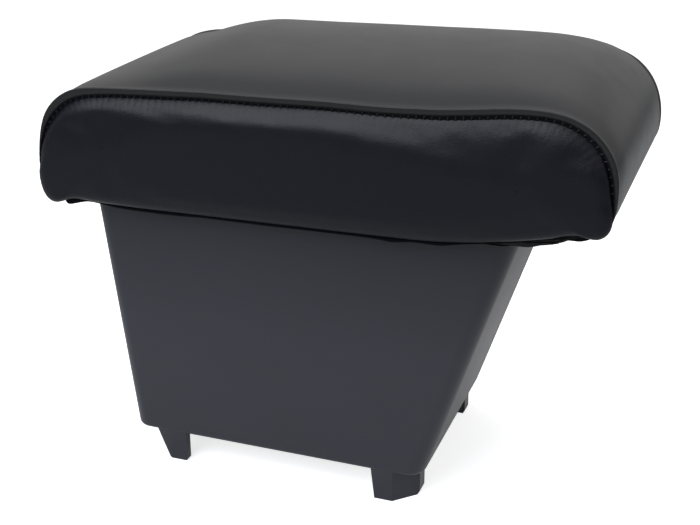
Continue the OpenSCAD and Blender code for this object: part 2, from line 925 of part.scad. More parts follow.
storage_box();
floor_mat();
hinge_leaf_box();
hinge_rivets();
hinge_pin();
catch_housing();
catch_magnet();
catch_pole_plates();
catch_screws();
lid_board();
foam_pad();
top_cover();
right_side_cover();
left_side_cover();
cover_staples();
lid_liner();
liner_screws();
lid_buffers();
hinge_leaf_lid();
hinge_lid_screws();
strike_plate();
strike_screws();
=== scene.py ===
# %% [markdown]
# # A car centre armrest
#
# The armrest is a padded lid on a moulded storage box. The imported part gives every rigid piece
# its place and size, so this lesson first loads it and then dresses it: plastic with a fine
# moulded grain, a sewn leatherette cushion, and the metal and felt that show once the lid is up.
# All sizes below are in millimetres until a mesh is made, because that is how the pieces are drawn.

import json
import math

import bmesh
import bpy
import numpy as np
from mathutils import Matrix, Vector

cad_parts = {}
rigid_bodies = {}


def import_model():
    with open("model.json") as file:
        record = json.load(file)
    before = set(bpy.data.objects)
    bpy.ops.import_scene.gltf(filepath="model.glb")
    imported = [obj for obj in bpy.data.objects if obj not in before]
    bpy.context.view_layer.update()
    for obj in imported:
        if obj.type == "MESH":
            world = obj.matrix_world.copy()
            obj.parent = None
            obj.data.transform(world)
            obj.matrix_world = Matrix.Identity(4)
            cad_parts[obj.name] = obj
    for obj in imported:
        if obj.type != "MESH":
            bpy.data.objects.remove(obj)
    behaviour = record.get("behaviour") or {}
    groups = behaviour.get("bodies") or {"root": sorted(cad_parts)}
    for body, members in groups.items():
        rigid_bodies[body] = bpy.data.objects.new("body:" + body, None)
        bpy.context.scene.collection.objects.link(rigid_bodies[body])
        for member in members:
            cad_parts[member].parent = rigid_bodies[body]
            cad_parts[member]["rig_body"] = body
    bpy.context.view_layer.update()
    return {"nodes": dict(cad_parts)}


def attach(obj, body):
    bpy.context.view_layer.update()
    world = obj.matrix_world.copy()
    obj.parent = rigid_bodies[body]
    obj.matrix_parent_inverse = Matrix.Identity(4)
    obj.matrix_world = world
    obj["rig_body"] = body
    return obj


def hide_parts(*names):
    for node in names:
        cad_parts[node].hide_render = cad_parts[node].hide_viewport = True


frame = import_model()
nodes = frame["nodes"]


# %% [markdown]
# ## Meshes from points
#
# Most soft pieces here are grids of points: rows that follow the edge of a panel, columns that
# cross it. A grid is easy to shape by formula, keeps its seams where they are sewn, and can be
# simulated coarsely and refined later. One helper turns millimetre points into a Blender mesh.

# %% A mesh helper
MM = 0.001
GRID_MERGE_MM = 0.02


def placed(name, data):
    """A new object that carries this data, linked into the scene."""
    piece = bpy.data.objects.new(name, data)
    bpy.context.scene.collection.objects.link(piece)
    return piece


def mesh_piece(name, points, faces, finish, smooth=True):
    """A new mesh object from points in millimetres."""
    mesh = bpy.data.meshes.new(name)
    mesh.from_pydata([tuple(float(c) * MM for c in p) for p in points], [], faces)
    mesh.validate()
    mesh.update()
    piece = placed(name, mesh)
    mesh.materials.append(finish)
    mesh.polygons.foreach_set("use_smooth", [smooth] * len(mesh.polygons))
    return piece


def grid_faces(rows, columns, closed=False):
    """Quads between neighbouring rows; with closed, the last row also meets the first."""
    last = rows if closed else rows - 1
    return [
        (i * columns + j, (i + 1) % rows * columns + j,
         (i + 1) % rows * columns + j + 1, i * columns + j + 1)
        for i in range(last) for j in range(columns - 1)
    ]


def clean_up(piece):
    """Merge doubled points and turn every face outwards."""
    shape = bmesh.new()
    shape.from_mesh(piece.data)
    bmesh.ops.remove_doubles(shape, verts=shape.verts, dist=GRID_MERGE_MM * MM)
    bmesh.ops.recalc_face_normals(shape, faces=shape.faces)
    shape.to_mesh(piece.data)
    shape.free()
    return piece


print("grid test:", len(grid_faces(3, 4)), "faces in a grid of 3 rows and 4 columns")

# %% [markdown]
# ## Finishes
#
# Every finish is a small node tree on Object coordinates, which here are metres, so a noise
# scale of 1000 is a grain of about a millimetre. A helper keeps the trees short: it makes a node,
# sets its values and links its inputs in one line.


# %% Helpers for node trees
def add_node(tree, kind, values=None, inputs=None):
    """A new node; each input takes a number, a colour or the socket that feeds it."""
    node = tree.nodes.new(kind)
    for key, value in (values or {}).items():
        setattr(node, key, value)
    for key, value in (inputs or {}).items():
        if isinstance(value, bpy.types.NodeSocket):
            tree.links.new(value, node.inputs[key])
        else:
            node.inputs[key].default_value = value
    return node


class Tree:
    """A material's node tree with short calls."""

    def __init__(self, name):
        self.finish = bpy.data.materials.new(name)
        self.finish.use_nodes = True
        self.tree = self.finish.node_tree
        self.shader = self.tree.nodes["Principled BSDF"]
        self.place = self.add("TexCoord").outputs["Object"]

    def add(self, kind, values=None, inputs=None):
        """A shader node, named without the prefix that they all share."""
        return add_node(self.tree, "ShaderNode" + kind, values, inputs)

    def noise(self, scale, detail=4.0, rough=0.55, place=None):
        """A cloudy value from 0 to 1."""
        return self.add("TexNoise", inputs={
            "Vector": place or self.place, "Scale": scale, "Detail": detail, "Roughness": rough,
        }).outputs["Fac"]

    def stretched(self, scale):
        """Object coordinates stretched by a factor along each axis."""
        return self.add("Mapping", inputs={"Vector": self.place, "Scale": scale}).outputs["Vector"]

    def between(self, fac, low, high):
        """A number between low and high, driven by a 0 to 1 value."""
        return self.add("MapRange", inputs={
            "Value": fac, "To Min": low, "To Max": high,
        }).outputs["Result"]

    def faded(self, value, start, end):
        """A share that is 0 where the value is start and 1 where it is end."""
        return self.add("MapRange", inputs={
            "Value": value, "From Min": start, "From Max": end,
        }).outputs["Result"]

    def height(self, direction):
        """The upward part of a place or of a direction."""
        return self.add("SeparateXYZ", inputs={"Vector": direction}).outputs["Z"]

    def mixed(self, fac, first, second):
        """A colour between two colours; sockets 6 and 7 and output 2 are the colour ones."""
        return self.add("Mix", {"data_type": "RGBA"}, {0: fac, 6: first, 7: second}).outputs[2]

    def maths(self, operation, first, second):
        return self.add("Math", {"operation": operation}, {0: first, 1: second}).outputs[0]

    def plus(self, first, second):
        return self.maths("ADD", first, second)

    def times(self, first, second):
        return self.maths("MULTIPLY", first, second)

    def bumped(self, height, strength, distance_mm):
        """A normal that follows a height."""
        return self.add("Bump", inputs={
            "Height": height, "Strength": strength, "Distance": distance_mm * MM,
        }).outputs["Normal"]

    def surface(self, colour, rough, normal, **fixed):
        """Link the three inputs that every finish drives, set the others and give the finish."""
        for key, value in (("Base Color", colour), ("Roughness", rough), ("Normal", normal)):
            if isinstance(value, bpy.types.NodeSocket):
                self.tree.links.new(value, self.shader.inputs[key])
            else:
                self.shader.inputs[key].default_value = value
        for key, value in fixed.items():
            self.shader.inputs[key.replace("_", " ")].default_value = value
        return self.finish


def grey(level, blue=0.0):
    """A grey, with a share of blue on top."""
    return (level, level, level * (1 + blue), 1.0)


print("helpers for node trees are ready")

# %% [markdown]
# ### Leatherette
#
# The cover is a grained vinyl: tiny rounded cells with creases between them, soft gloss, and
# slightly uneven colour where it is stretched. Voronoi cells give the grain, two noises give the
# creases their irregular depth, and slow noises vary colour and gloss over the cushion. The side
# panels also gather in fine slanted folds below the seam. They fade by how far each point lies
# from the seam, which the panel's mesh brings along as an attribute.

# %% Leatherette
# The gathers are full near the seam and gone farther in, in metres
GATHERS_GONE, GATHERS_FULL = 0.022, 0.003
# They slant: the noise is turned by this many radians and drawn out along one axis
GATHERS_TURN, GATHERS_STRETCH = 0.9, 0.28


def gathered_folds(t):
    """Height of the gathers: long slanted folds, only near the seam."""
    from_seam = t.add("Attribute", {"attribute_name": "from_seam"}).outputs["Fac"]
    lines = t.add("Mapping", inputs={
        "Vector": t.place, "Rotation": (0.0, GATHERS_TURN, 0.0), "Scale": (1.0, 1.0, GATHERS_STRETCH),
    }).outputs["Vector"]
    folds = t.noise(420.0, 3.0, 0.6, place=lines)
    return t.times(folds, t.faded(from_seam, GATHERS_GONE, GATHERS_FULL))


def leatherette(name, shade, blue, rough, gloss, gathers=0.0):
    t = Tree(name)
    warp = t.add("VectorMath", {"operation": "MULTIPLY_ADD"}, {
        0: t.add("TexNoise", inputs={"Vector": t.place, "Scale": 500.0, "Detail": 2.0}).outputs["Color"],
        1: (0.0009, 0.0009, 0.0009), 2: t.place,
    }).outputs["Vector"]
    cells = t.add("TexVoronoi", {"feature": "DISTANCE_TO_EDGE"}, {"Vector": warp, "Scale": 900.0})
    creases = t.between(cells.outputs["Distance"], 0.0, 2.4)
    fine = t.noise(2600.0, 3.0)
    pores = t.noise(180.0, 3.0)
    height = t.plus(t.maths("MINIMUM", creases, 1.0), t.times(fine, 0.35))
    height = t.plus(height, t.times(pores, 0.5))
    if gathers:
        height = t.plus(height, t.times(gathered_folds(t), gathers))
    slow = t.noise(22.0, 3.0)
    colour = t.mixed(slow, grey(shade * 0.88, blue=blue), grey(shade * 1.12, blue=blue))
    return t.surface(
        colour=colour,
        rough=t.between(t.noise(60.0, 4.0), rough - 0.05, rough + 0.05),
        normal=t.bumped(height, 0.5, 0.05),
        Specular_IOR_Level=gloss,
    )


TOP_LEATHER = leatherette("leatherette_top", shade=0.010, blue=0.1, rough=0.38, gloss=0.2)
# The sides are the same vinyl as the top; this copy's colour is painted darker and bluer, as painted shade
# on the upright faces
SHADED_SIDE_LEATHER = leatherette("leatherette_side_shaded", shade=0.002, blue=1.6, rough=0.40, gloss=0.19, gathers=7.0)
print("leatherette finishes:", TOP_LEATHER.name, SHADED_SIDE_LEATHER.name)

# %% [markdown]
# ### Moulded plastic, felt, rubber and metal
#
# The box is a black-grey plastic with a fine spark-eroded texture from its mould. Its colour is
# painted darker under the lid, as painted shade from the lid's overhang, and paler towards the
# floor, as painted light from the floor. The felt, the foam and the plywood are only seen with the
# lid up or off, but they get their own fibres, cells and plies, because the part is also looked at in
# pieces.

# %% Box plastic
# Painted shade from the lid's overhang is full at the rim, and painted light from the floor is full at the
# middle of the walls, in metres
PAINTED_SHADE_FULL_Z, PAINTED_LIGHT_FULL_Z = 0.152, 0.085


def box_plastic():
    t = Tree("box_plastic")
    fine = t.noise(2400.0, 5.0, 0.6)
    blotch = t.noise(14.0, 3.0)
    # The darker colour is painted shade just under the lid, the paler one painted light from the floor
    # lower down
    lid_shaded_colour = t.mixed(blotch, grey(0.013, blue=0.4), grey(0.016, blue=0.4))
    floor_lit_colour = t.mixed(blotch, grey(0.027, blue=0.28), grey(0.032, blue=0.28))
    return t.surface(
        colour=t.mixed(t.faded(t.height(t.place), PAINTED_SHADE_FULL_Z, PAINTED_LIGHT_FULL_Z), lid_shaded_colour, floor_lit_colour),
        rough=t.between(t.noise(300.0, 3.0), 0.40, 0.48),
        normal=t.bumped(fine, 0.35, 0.03),
        Specular_IOR_Level=0.25,
    )


BOX_PLASTIC = box_plastic()


# %% Felt, foam and rubber
def fibrous(name, colour_a, colour_b, scale, sheen=0.3):
    t = Tree(name)
    fibres = t.noise(scale, 6.0, 0.7)
    tufts = t.noise(scale * 0.2, 3.0)
    return t.surface(
        colour=t.mixed(t.times(fibres, tufts), colour_a, colour_b),
        rough=0.95,
        normal=t.bumped(t.plus(fibres, tufts), 0.8, 0.35),
        Sheen_Weight=sheen,
        Sheen_Roughness=0.5,
    )


FELT = fibrous("mat_felt", grey(0.010), grey(0.045), 1500.0)
FELT_BOARD = fibrous("felt_board", grey(0.004), grey(0.02), 1200.0, sheen=0.1)


def open_cell_foam():
    t = Tree("foam")
    cells = t.add("TexVoronoi", {"feature": "SMOOTH_F1"}, {"Vector": t.place, "Scale": 1100.0})
    depth = cells.outputs["Distance"]
    stain = t.noise(25.0, 3.0)
    skin = t.mixed(stain, (0.66, 0.55, 0.30, 1), (0.74, 0.66, 0.42, 1))
    return t.surface(
        colour=t.mixed(t.between(depth, 0.0, 1.0), skin, (0.42, 0.33, 0.16, 1)),
        rough=0.95,
        normal=t.bumped(t.maths("SUBTRACT", 1.0, depth), 0.8, 0.5),
    )


def moulded_rubber():
    t = Tree("buffer_rubber")
    bloom = t.noise(350.0, 4.0)
    return t.surface(
        colour=t.mixed(bloom, grey(0.008), grey(0.022)),
        rough=t.between(bloom, 0.62, 0.8),
        normal=t.bumped(t.noise(1800.0), 0.3, 0.05),
    )


FOAM = open_cell_foam()
RUBBER = moulded_rubber()


# %% Plywood
def plywood():
    t = Tree("plywood")
    along = t.stretched((18.0, 260.0, 260.0))
    grain = t.add("TexNoise", inputs={
        "Vector": along, "Scale": 1.0, "Detail": 8.0, "Roughness": 0.65, "Distortion": 0.6,
    }).outputs["Fac"]
    face = t.mixed(grain, (0.44, 0.27, 0.12, 1), (0.62, 0.44, 0.24, 1))
    plies = t.add("TexWave", {"wave_type": "BANDS", "bands_direction": "Z"}, {
        "Vector": t.place, "Scale": 133.0, "Distortion": 0.6, "Detail": 2.0,
    }).outputs["Fac"]
    upright = t.height(t.add("NewGeometry").outputs["True Normal"])
    edge = t.maths("SUBTRACT", 1.0, t.times(upright, upright))
    banded = t.mixed(plies, (0.26, 0.15, 0.07, 1), (0.60, 0.43, 0.24, 1))
    return t.surface(
        colour=t.mixed(edge, face, banded),
        rough=t.between(grain, 0.55, 0.75),
        normal=t.bumped(grain, 0.4, 0.2),
    )


PLYWOOD = plywood()


# %% Metals
def metal(name, colour, rough, scratch=0.25, stretch=(1.0, 1.0, 1.0)):
    t = Tree(name)
    place = t.stretched(stretch)
    wear = t.noise(900.0, 5.0, 0.6, place)
    spots = t.noise(90.0, 3.0)
    dull = tuple(c * 0.72 for c in colour[:3]) + (1,)
    return t.surface(
        colour=t.mixed(t.times(wear, spots), dull, colour),
        rough=t.between(wear, rough - 0.08, rough + 0.12),
        normal=t.bumped(wear, scratch, 0.03),
        Metallic=1.0,
    )


ZINC = metal("zinc_steel", (0.62, 0.64, 0.66, 1), 0.34, 0.3, (1.0, 0.12, 1.0))
RIVET = metal("rivet_metal", (0.72, 0.73, 0.75, 1), 0.28)
SCREW = metal("screw_steel", (0.66, 0.66, 0.64, 1), 0.30)
BLACK_SCREW = metal("black_screw", (0.06, 0.06, 0.065, 1), 0.42)


def magnet_block():
    t = Tree("magnet_black")
    ceramic = t.noise(1400.0, 6.0, 0.7)
    return t.surface(
        colour=t.mixed(ceramic, grey(0.035), grey(0.075)),
        rough=t.between(ceramic, 0.5, 0.7),
        normal=t.bumped(ceramic, 0.4, 0.06),
    )


def catch_plastic():
    t = Tree("catch_plastic")
    fine = t.noise(1900.0, 3.0)
    return t.surface(
        colour=t.mixed(t.noise(30.0), grey(0.012), grey(0.018)),
        rough=t.between(fine, 0.32, 0.44),
        normal=t.bumped(fine, 0.2, 0.03),
    )


MAGNET = magnet_block()
CATCH = catch_plastic()
print("finishes so far:", len(bpy.data.materials))

# %% [markdown]
# ## Rigid pieces
#
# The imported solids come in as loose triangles, one flat face each. A copy of a solid can be
# merged, shaded smooth where it is round and given a small bevel on its edges, as a mould or a
# press leaves them. The copy stands exactly where the solid is and takes its place in the render.


# %% Dress a rigid piece
SOLID_MERGE_MM = 0.004
FLAT_DEG, SHARP_DEG, BEVEL_DEG = 0.8, 32, 38


def merged_shape(mesh):
    """A solid's loose triangles with their corners merged, open for changes."""
    shape = bmesh.new()
    shape.from_mesh(mesh)
    bmesh.ops.remove_doubles(shape, verts=shape.verts, dist=SOLID_MERGE_MM * MM)
    return shape


def closed_shape(shape, mesh, finish, sharp_deg):
    """Put the changed shape back, in its finish, smooth up to an angle."""
    shape.to_mesh(mesh)
    shape.free()
    mesh.materials.clear()
    mesh.materials.append(finish)
    mesh.polygons.foreach_set("use_smooth", [True] * len(mesh.polygons))
    mesh.set_sharp_from_angle(angle=math.radians(sharp_deg))


def dressed(node, finish, bevel_mm):
    """A merged, lightly bevelled copy of a solid, in the solid's own place."""
    piece = placed(node + "_finished", nodes[node].data.copy())
    shape = merged_shape(piece.data)
    bmesh.ops.dissolve_limit(
        shape, angle_limit=math.radians(FLAT_DEG), verts=shape.verts, edges=shape.edges)
    closed_shape(shape, piece.data, finish, SHARP_DEG)
    bevel = piece.modifiers.new("moulded edges", "BEVEL")
    bevel.width = bevel_mm * MM
    bevel.segments = 2
    bevel.limit_method = "ANGLE"
    bevel.angle_limit = math.radians(BEVEL_DEG)
    bevel.harden_normals = False
    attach(piece, nodes[node]["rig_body"])
    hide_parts(node)
    return piece


RIGID = [
    ("storage_box", BOX_PLASTIC, "box_plastic", 0.35),
    ("floor_mat", FELT, "felt", 0.3),
    ("hinge_leaf_box", ZINC, "zinc_steel", 0.12),
    ("hinge_leaf_lid", ZINC, "zinc_steel", 0.12),
    ("hinge_rivets", RIVET, "rivet_metal", 0.15),
    ("hinge_pin", ZINC, "zinc_steel", 0.1),
    ("hinge_lid_screws", SCREW, "screw_steel", 0.1),
    ("catch_housing", CATCH, "catch_plastic", 0.3),
    ("catch_magnet", MAGNET, "magnet_black", 0.15),
    ("catch_pole_plates", ZINC, "zinc_steel", 0.1),
    ("catch_screws", SCREW, "screw_steel", 0.15),
    ("lid_board", PLYWOOD, "plywood", 0.3),
    ("cover_staples", SCREW, "screw_steel", 0.08),
    ("lid_liner", FELT_BOARD, "felt_board", 0.3),
    ("liner_screws", BLACK_SCREW, "black_screw", 0.1),
    ("lid_buffers", RUBBER, "buffer_rubber", 0.2),
    ("strike_plate", ZINC, "zinc_steel", 0.12),
    ("strike_screws", SCREW, "screw_steel", 0.1),
]
for node, finish, slot, bevel_mm in RIGID:
    piece = dressed(node, finish, bevel_mm)
    print(f"{node}: {len(piece.data.polygons)} faces after merging")

# %% [markdown]
# ## The lid's outline
#
# Seen from the side, the cushion has four rounded corners, and no two of them are alike: the nose
# is tall and blunt, the rear is lower and the sewn edge waves a little in between. The outline
# was measured in the photograph at some forty places. One helper smooths such a row of points and
# another spaces points evenly along it, so that stitches and creases keep an even pitch.

# %% Curves through measured points
LID_REAR, LID_FRONT, HEM_Z = -145.0, 145.0, 153.0
SEAM_Y = 75.0


def spaced(path, count, closed=False):
    """count points at an even pitch along a path."""
    path = np.asarray(path, float)
    if closed:
        path = np.vstack([path, path[:1]])
    length = np.concatenate([[0], np.cumsum(np.linalg.norm(np.diff(path, axis=0), axis=1))])
    at = np.linspace(0, length[-1], count, endpoint=not closed)
    return np.column_stack([np.interp(at, length, path[:, k]) for k in range(path.shape[1])])


def outward(path, closed=False):
    """The unit normal on the left of the path, which is outside on a path drawn over the top."""
    if closed:
        along = np.roll(path, -1, axis=0) - np.roll(path, 1, axis=0)
    else:
        along = np.gradient(path, axis=0)
    along /= np.linalg.norm(along, axis=1)[:, None]
    return np.column_stack([-along[:, 1], along[:, 0]])


def smooth_step(t):
    """From 0 to 1 with soft ends, held outside."""
    t = np.clip(t, 0.0, 1.0)
    return t * t * (3 - 2 * t)


def smoothed(values, rounds, closed=False):
    """Values averaged with their neighbours a number of times."""
    values = np.array(values, float)
    for _ in range(rounds):
        if closed:
            values = (np.roll(values, 1, axis=0) + 2 * values + np.roll(values, -1, axis=0)) / 4
        else:
            values[1:-1] = (values[:-2] + 2 * values[1:-1] + values[2:]) / 4
    return values


ROWS = 480
FINE_POINTS, CURVE_ROUNDS = 1200, 240
# The near crease and the far one, from under the rear end, over the top, to under the nose
NEAR_CREASE = [
    (-129.2, 153.0), (-136.0, 153.1), (-140.2, 154.3), (-142.7, 157.6), (-143.7, 163.0), (-144.3, 168.5),
    (-143.7, 174.4), (-142.9, 180.4), (-141.7, 186.0), (-140.1, 191.4), (-137.4, 196.0), (-133.6, 200.3),
    (-128.8, 204.0), (-123.2, 206.9), (-117.0, 208.5), (-106.0, 209.4), (-84.0, 210.5), (-52.0, 211.8),
    (-21.5, 212.1), (8.0, 212.8), (37.0, 212.6), (64.0, 213.7), (82.0, 215.6), (94.0, 216.9),
    (104.0, 217.3), (112.4, 217.0), (117.3, 216.3), (122.2, 215.0), (126.5, 213.2), (130.9, 210.6),
    (135.0, 207.1), (138.3, 203.2), (141.0, 198.9), (142.8, 194.1), (143.6, 189.5), (143.9, 184.8),
    (143.9, 179.0), (143.6, 174.0), (142.9, 170.2), (141.4, 167.2), (139.0, 164.9), (134.8, 163.4),
    (128.0, 162.2), (121.0, 159.8), (117.0, 157.0), (115.2, 154.8), (113.8, 153.4), (112.0, 153.0),
    (108.0, 153.0), (104.0, 153.0), (100.0, 153.0),
]
FAR_CREASE = [
    (-129.2, 153.0), (-136.0, 152.8), (-141.2, 153.9), (-144.7, 157.8), (-145.6, 164.0), (-145.6, 172.0),
    (-145.2, 181.0), (-144.2, 188.2), (-142.1, 195.0), (-138.5, 200.5), (-133.6, 204.4), (-127.0, 207.4),
    (-118.2, 209.5), (-106.0, 210.8), (-84.0, 212.0), (-52.0, 212.8), (-21.5, 213.2), (8.0, 213.8),
    (37.0, 214.6), (64.0, 215.6), (82.0, 216.4), (94.0, 217.0), (102.0, 217.1), (110.0, 216.8),
    (117.8, 215.8), (124.9, 213.5), (131.0, 210.1), (136.1, 205.5), (140.2, 199.9), (142.9, 194.0),
    (144.6, 187.7), (145.3, 181.5), (145.3, 176.0), (144.6, 170.6), (142.9, 166.7), (139.8, 164.6),
    (134.6, 163.2), (128.0, 162.0), (121.0, 159.8), (117.0, 157.0), (115.2, 154.8), (113.8, 153.4),
    (112.0, 153.0), (108.0, 153.0), (104.0, 153.0), (100.0, 153.0),
]


def drawn(points):
    """A smooth curve through measured points, with one point for each row of the cover."""
    return spaced(smoothed(spaced(points, FINE_POINTS), CURVE_ROUNDS), ROWS)


near_crease = drawn(NEAR_CREASE)
far_crease = drawn(FAR_CREASE)
crease_length = float(np.linalg.norm(np.diff(near_crease, axis=0), axis=1).sum())
print("length of the near crease, mm:", round(crease_length, 1))

# %% [markdown]
# ## The sewn edge
#
# Along each side the cover stands up in a thin crease, drops down as a narrow band and turns in
# at the stitches. The band is just under 4 mm wide over the top and runs out towards both lower
# corners, where the side panel swells over it. Its width is read off the photograph at a few
# places and interpolated between them.

# %% Width of the band
# Share of the crease's length, counted from the rear, and the width of the band there
BAND_WIDTHS = [
    (0.0, 0.3), (0.05, 0.5), (0.075, 0.8), (0.1, 1.9), (0.125, 3.5), (0.15, 4.1), (0.175, 4.5),
    (0.2, 4.3), (0.226, 3.95), (0.65, 3.8), (0.7, 3.6), (0.73, 3.4), (0.8, 3.4), (0.83, 3.4),
    (0.85, 2.6), (0.877, 1.5), (0.9, 1.1), (0.93, 0.5), (1.0, 0.3),
]
# The edge lies flat at the hem and is rolled up in full this far above it
ROLLED_AT = 7.0

share_along = np.linspace(0, 1, ROWS)
band = smoothed(np.interp(share_along, *np.transpose(BAND_WIDTHS)), 12)
middle_crease = (near_crease + far_crease) / 2
middle_normal = outward(middle_crease)
rise = middle_crease[:, 1] - HEM_Z
rolled = smooth_step(rise / ROLLED_AT)
near_seam = near_crease - outward(near_crease) * band[:, None]
far_seam = far_crease - outward(far_crease) * band[:, None]
print("seam at the middle, mm:", near_seam[ROWS // 2].round(1), far_seam[ROWS // 2].round(1))

# %% [markdown]
# ## The top cover
#
# One strip of leatherette lies over the top and both ends. Across the lid it rises in a soft
# crown that fades towards both ends. At each edge a few close columns draw the standing crease,
# the band under it and the lip that turns in at the stitches. Each stitch pulls the band in a
# little, which makes the fine scallops along the seam.

# %% Shape of the top cover
# Each column near an edge: distance outside the seam as a share of the band, and distance inward
EDGE = np.array([
    (-0.40, 9.0), (-0.30, 5.5), (-0.18, 3.4), (-0.04, 2.2), (0.06, 1.4), (0.18, 0.8), (0.32, 0.42),
    (0.50, 0.15), (0.70, 0.0), (0.84, -0.05), (0.94, 0.08), (1.00, 0.36), (1.01, 0.75), (0.97, 1.1),
    (0.88, 1.5), (0.80, 2.1), (0.78, 3.2), (0.80, 4.6), (0.84, 6.2),
])
# Columns farther in, by their distance from the seam, to the middle of the lid
INNER = [8.5, 12.0, 17.0, 23.0, 30.0, 38.0, 47.0, 56.0, 65.0, SEAM_Y]
# Edge columns that stand higher than this share of the band follow the crown as well
CREST_SHARE = 0.8
STITCH = 3.6
# How much a stitch pulls the band in, and where across the band it pulls
PULL, PULL_AT, PULL_SPREAD = 0.22, 0.15, 0.3
# A slight valley behind the crease, as a share of the band's width
VALLEY_SHARE, VALLEY_AT, VALLEY_SPREAD = 0.16, 6.2, 5.0
# Height of the crown, where it starts in front of the rear end and how long it takes to rise
CROWN, CROWN_START, CROWN_RUN = 16.2, 14.0, 78.0
# The cover is drawn in under the board at both hems
TUCK, TUCK_RISE = 9.6, 8.5
half_width = SEAM_Y - TUCK * (1 - smooth_step(rise / TUCK_RISE)) ** 2


def crown_at(path, normal):
    """Height of the padding over the creases, for every row."""
    run = smooth_step((path[:, 0] - LID_REAR - CROWN_START) / CROWN_RUN)
    run = run * (1 - (np.maximum(0, path[:, 0]) / LID_FRONT) ** 4)
    up = np.maximum(0, normal[:, 1]) ** 0.7
    # The ends bulge a little in their upper part, and the nose is drawn in slightly below that
    high = path[:, 1] - HEM_Z
    nose = 3.5 * smooth_step((high - 22) / 28) - 1.5 * np.exp(-((high - 16) / 9) ** 2)
    rear = 0.6 * smooth_step((high - 10) / 34)
    return np.maximum(CROWN * run * up, np.where(path[:, 0] > 0, nose, rear))


def scallops(walk, pitch):
    """From 0 to 1 and back once for every stitch along a seam."""
    return 0.5 - 0.5 * np.cos(2 * np.pi * walk / pitch)


crown = smoothed(crown_at(middle_crease, middle_normal), 20)
pucker = scallops(share_along * crease_length, STITCH)


def crown_share(y):
    """How much of the crown a column has: nothing at the crease, all of it in the middle."""
    return (1 - np.abs(y / SEAM_Y) ** 2.6) * smooth_step((SEAM_Y - 2.0 - y) / 9.0)


def top_cover_half(side, crease, seam, other):
    """Columns from the turned-in edge to the middle of the lid, as arrays of 3-D points."""
    normal = outward(crease)
    half = []
    for out, inward in EDGE:
        pull = PULL * pucker * rolled * np.exp(-((out - PULL_AT) / PULL_SPREAD) ** 2)
        flat = seam + normal * ((out * band - pull) * rolled)[:, None]
        if out > CREST_SHARE:
            flat = flat + normal * (crown * crown_share(half_width - inward))[:, None]
        half.append(np.column_stack([flat[:, 0], side * (half_width - inward - pull * 1.2), flat[:, 1]]))
    for inward in INNER:
        t = inward / (2 * SEAM_Y)
        mixed = crease * (1 - t) + other * t
        y = half_width * (1 - inward / SEAM_Y)
        valley = VALLEY_SHARE * band * np.exp(-((inward - VALLEY_AT) / VALLEY_SPREAD) ** 2) * rolled
        flat = mixed + middle_normal * (crown * crown_share(y) - valley)[:, None]
        half.append(np.column_stack([flat[:, 0], side * y, flat[:, 1]]))
    return half


near_half = top_cover_half(-1, near_crease, near_seam, far_crease)
far_half = top_cover_half(1, far_crease, far_seam, near_crease)
cover_grid = np.array(near_half + far_half[-2::-1]).transpose(1, 0, 2)
print("top cover grid:", cover_grid.shape)

# %% [markdown]
# ## Filling the cushion
#
# Real leatherette gets its last shape from the foam that presses it out between its seams. Each
# skin is therefore laid out as a coarse net of its own points, held along its seams and blown up
# by Blender's cloth for twenty frames without gravity. How far each point moved, at most about a
# millimetre, is then carried over to the fine skin. Every fine point takes the mean of the few
# net points next to it, and neighbours are averaged, so the net's facets don't show.

# %% Skins from grids
LID_CENTRE = np.array([0.0, 0.0, 0.182])


def face_out(piece):
    """Turn a skin's faces away from the middle of the lid."""
    mesh = piece.data
    centre, normal = np.zeros(len(mesh.polygons) * 3), np.zeros(len(mesh.polygons) * 3)
    mesh.polygons.foreach_get("center", centre)
    mesh.polygons.foreach_get("normal", normal)
    away = (centre.reshape(-1, 3) - LID_CENTRE) * normal.reshape(-1, 3)
    if np.median(away.sum(axis=1)) < 0:
        mesh.flip_normals()
    return piece


def sheet_piece(name, grid, finish, closed=False):
    rows, columns = grid.shape[:2]
    return face_out(mesh_piece(name, grid.reshape(-1, 3), grid_faces(rows, columns, closed), finish))


# %% Press a net out with cloth
FRAMES = 20
PRESSURE = 4.0


def pressed_out(net, slack):
    """Blow a net up, remove it and give its points before and after, in millimetres."""
    cloth = net.modifiers.new("filling", "CLOTH").settings
    cloth.quality, cloth.mass, cloth.air_damping = 8, 0.3, 4.0
    cloth.tension_stiffness = cloth.compression_stiffness = 60.0
    cloth.shear_stiffness, cloth.bending_stiffness = 25.0, 1.5
    cloth.use_pressure, cloth.uniform_pressure_force = True, PRESSURE
    cloth.vertex_group_mass = "held"
    cloth.shrink_min = -slack
    cloth.effector_weights.gravity = 0.0
    before = np.empty(len(net.data.vertices) * 3)
    net.data.vertices.foreach_get("co", before)
    for moment in range(1, FRAMES + 1):
        bpy.context.scene.frame_set(moment)
    after = np.empty_like(before)
    ready = net.evaluated_get(bpy.context.evaluated_depsgraph_get())
    ready.data.vertices.foreach_get("co", after)
    bpy.data.objects.remove(net)
    bpy.context.scene.frame_set(1)
    return before.reshape(-1, 3) / MM, (after - before).reshape(-1, 3) / MM


# %% Swell a skin
# A fine point follows its nearest net points; the softening, in square millimetres, evens them out
NEAREST, SOFTENING = 5, 3.0
# The distances are worked out in batches, to spare memory
BATCHES = 60
CARRY_ROUNDS = 24
# The innermost rings of a side panel meet at its middle line and are averaged much longer
MEETING_RINGS, MEETING_ROUNDS = 6, 200


def carried_over(points, rest, move):
    """The movement of the net, read at other points."""
    carried = np.zeros_like(points)
    for part in np.array_split(np.arange(len(points)), BATCHES):
        gap = ((points[part][:, None, :] - rest[None]) ** 2).sum(axis=2)
        near = np.argpartition(gap, NEAREST, axis=1)[:, :NEAREST]
        weight = 1.0 / (np.take_along_axis(gap, near, axis=1) + SOFTENING) ** 2
        weight /= weight.sum(axis=1)[:, None]
        carried[part] = (move[near] * weight[..., None]).sum(axis=1)
    return carried


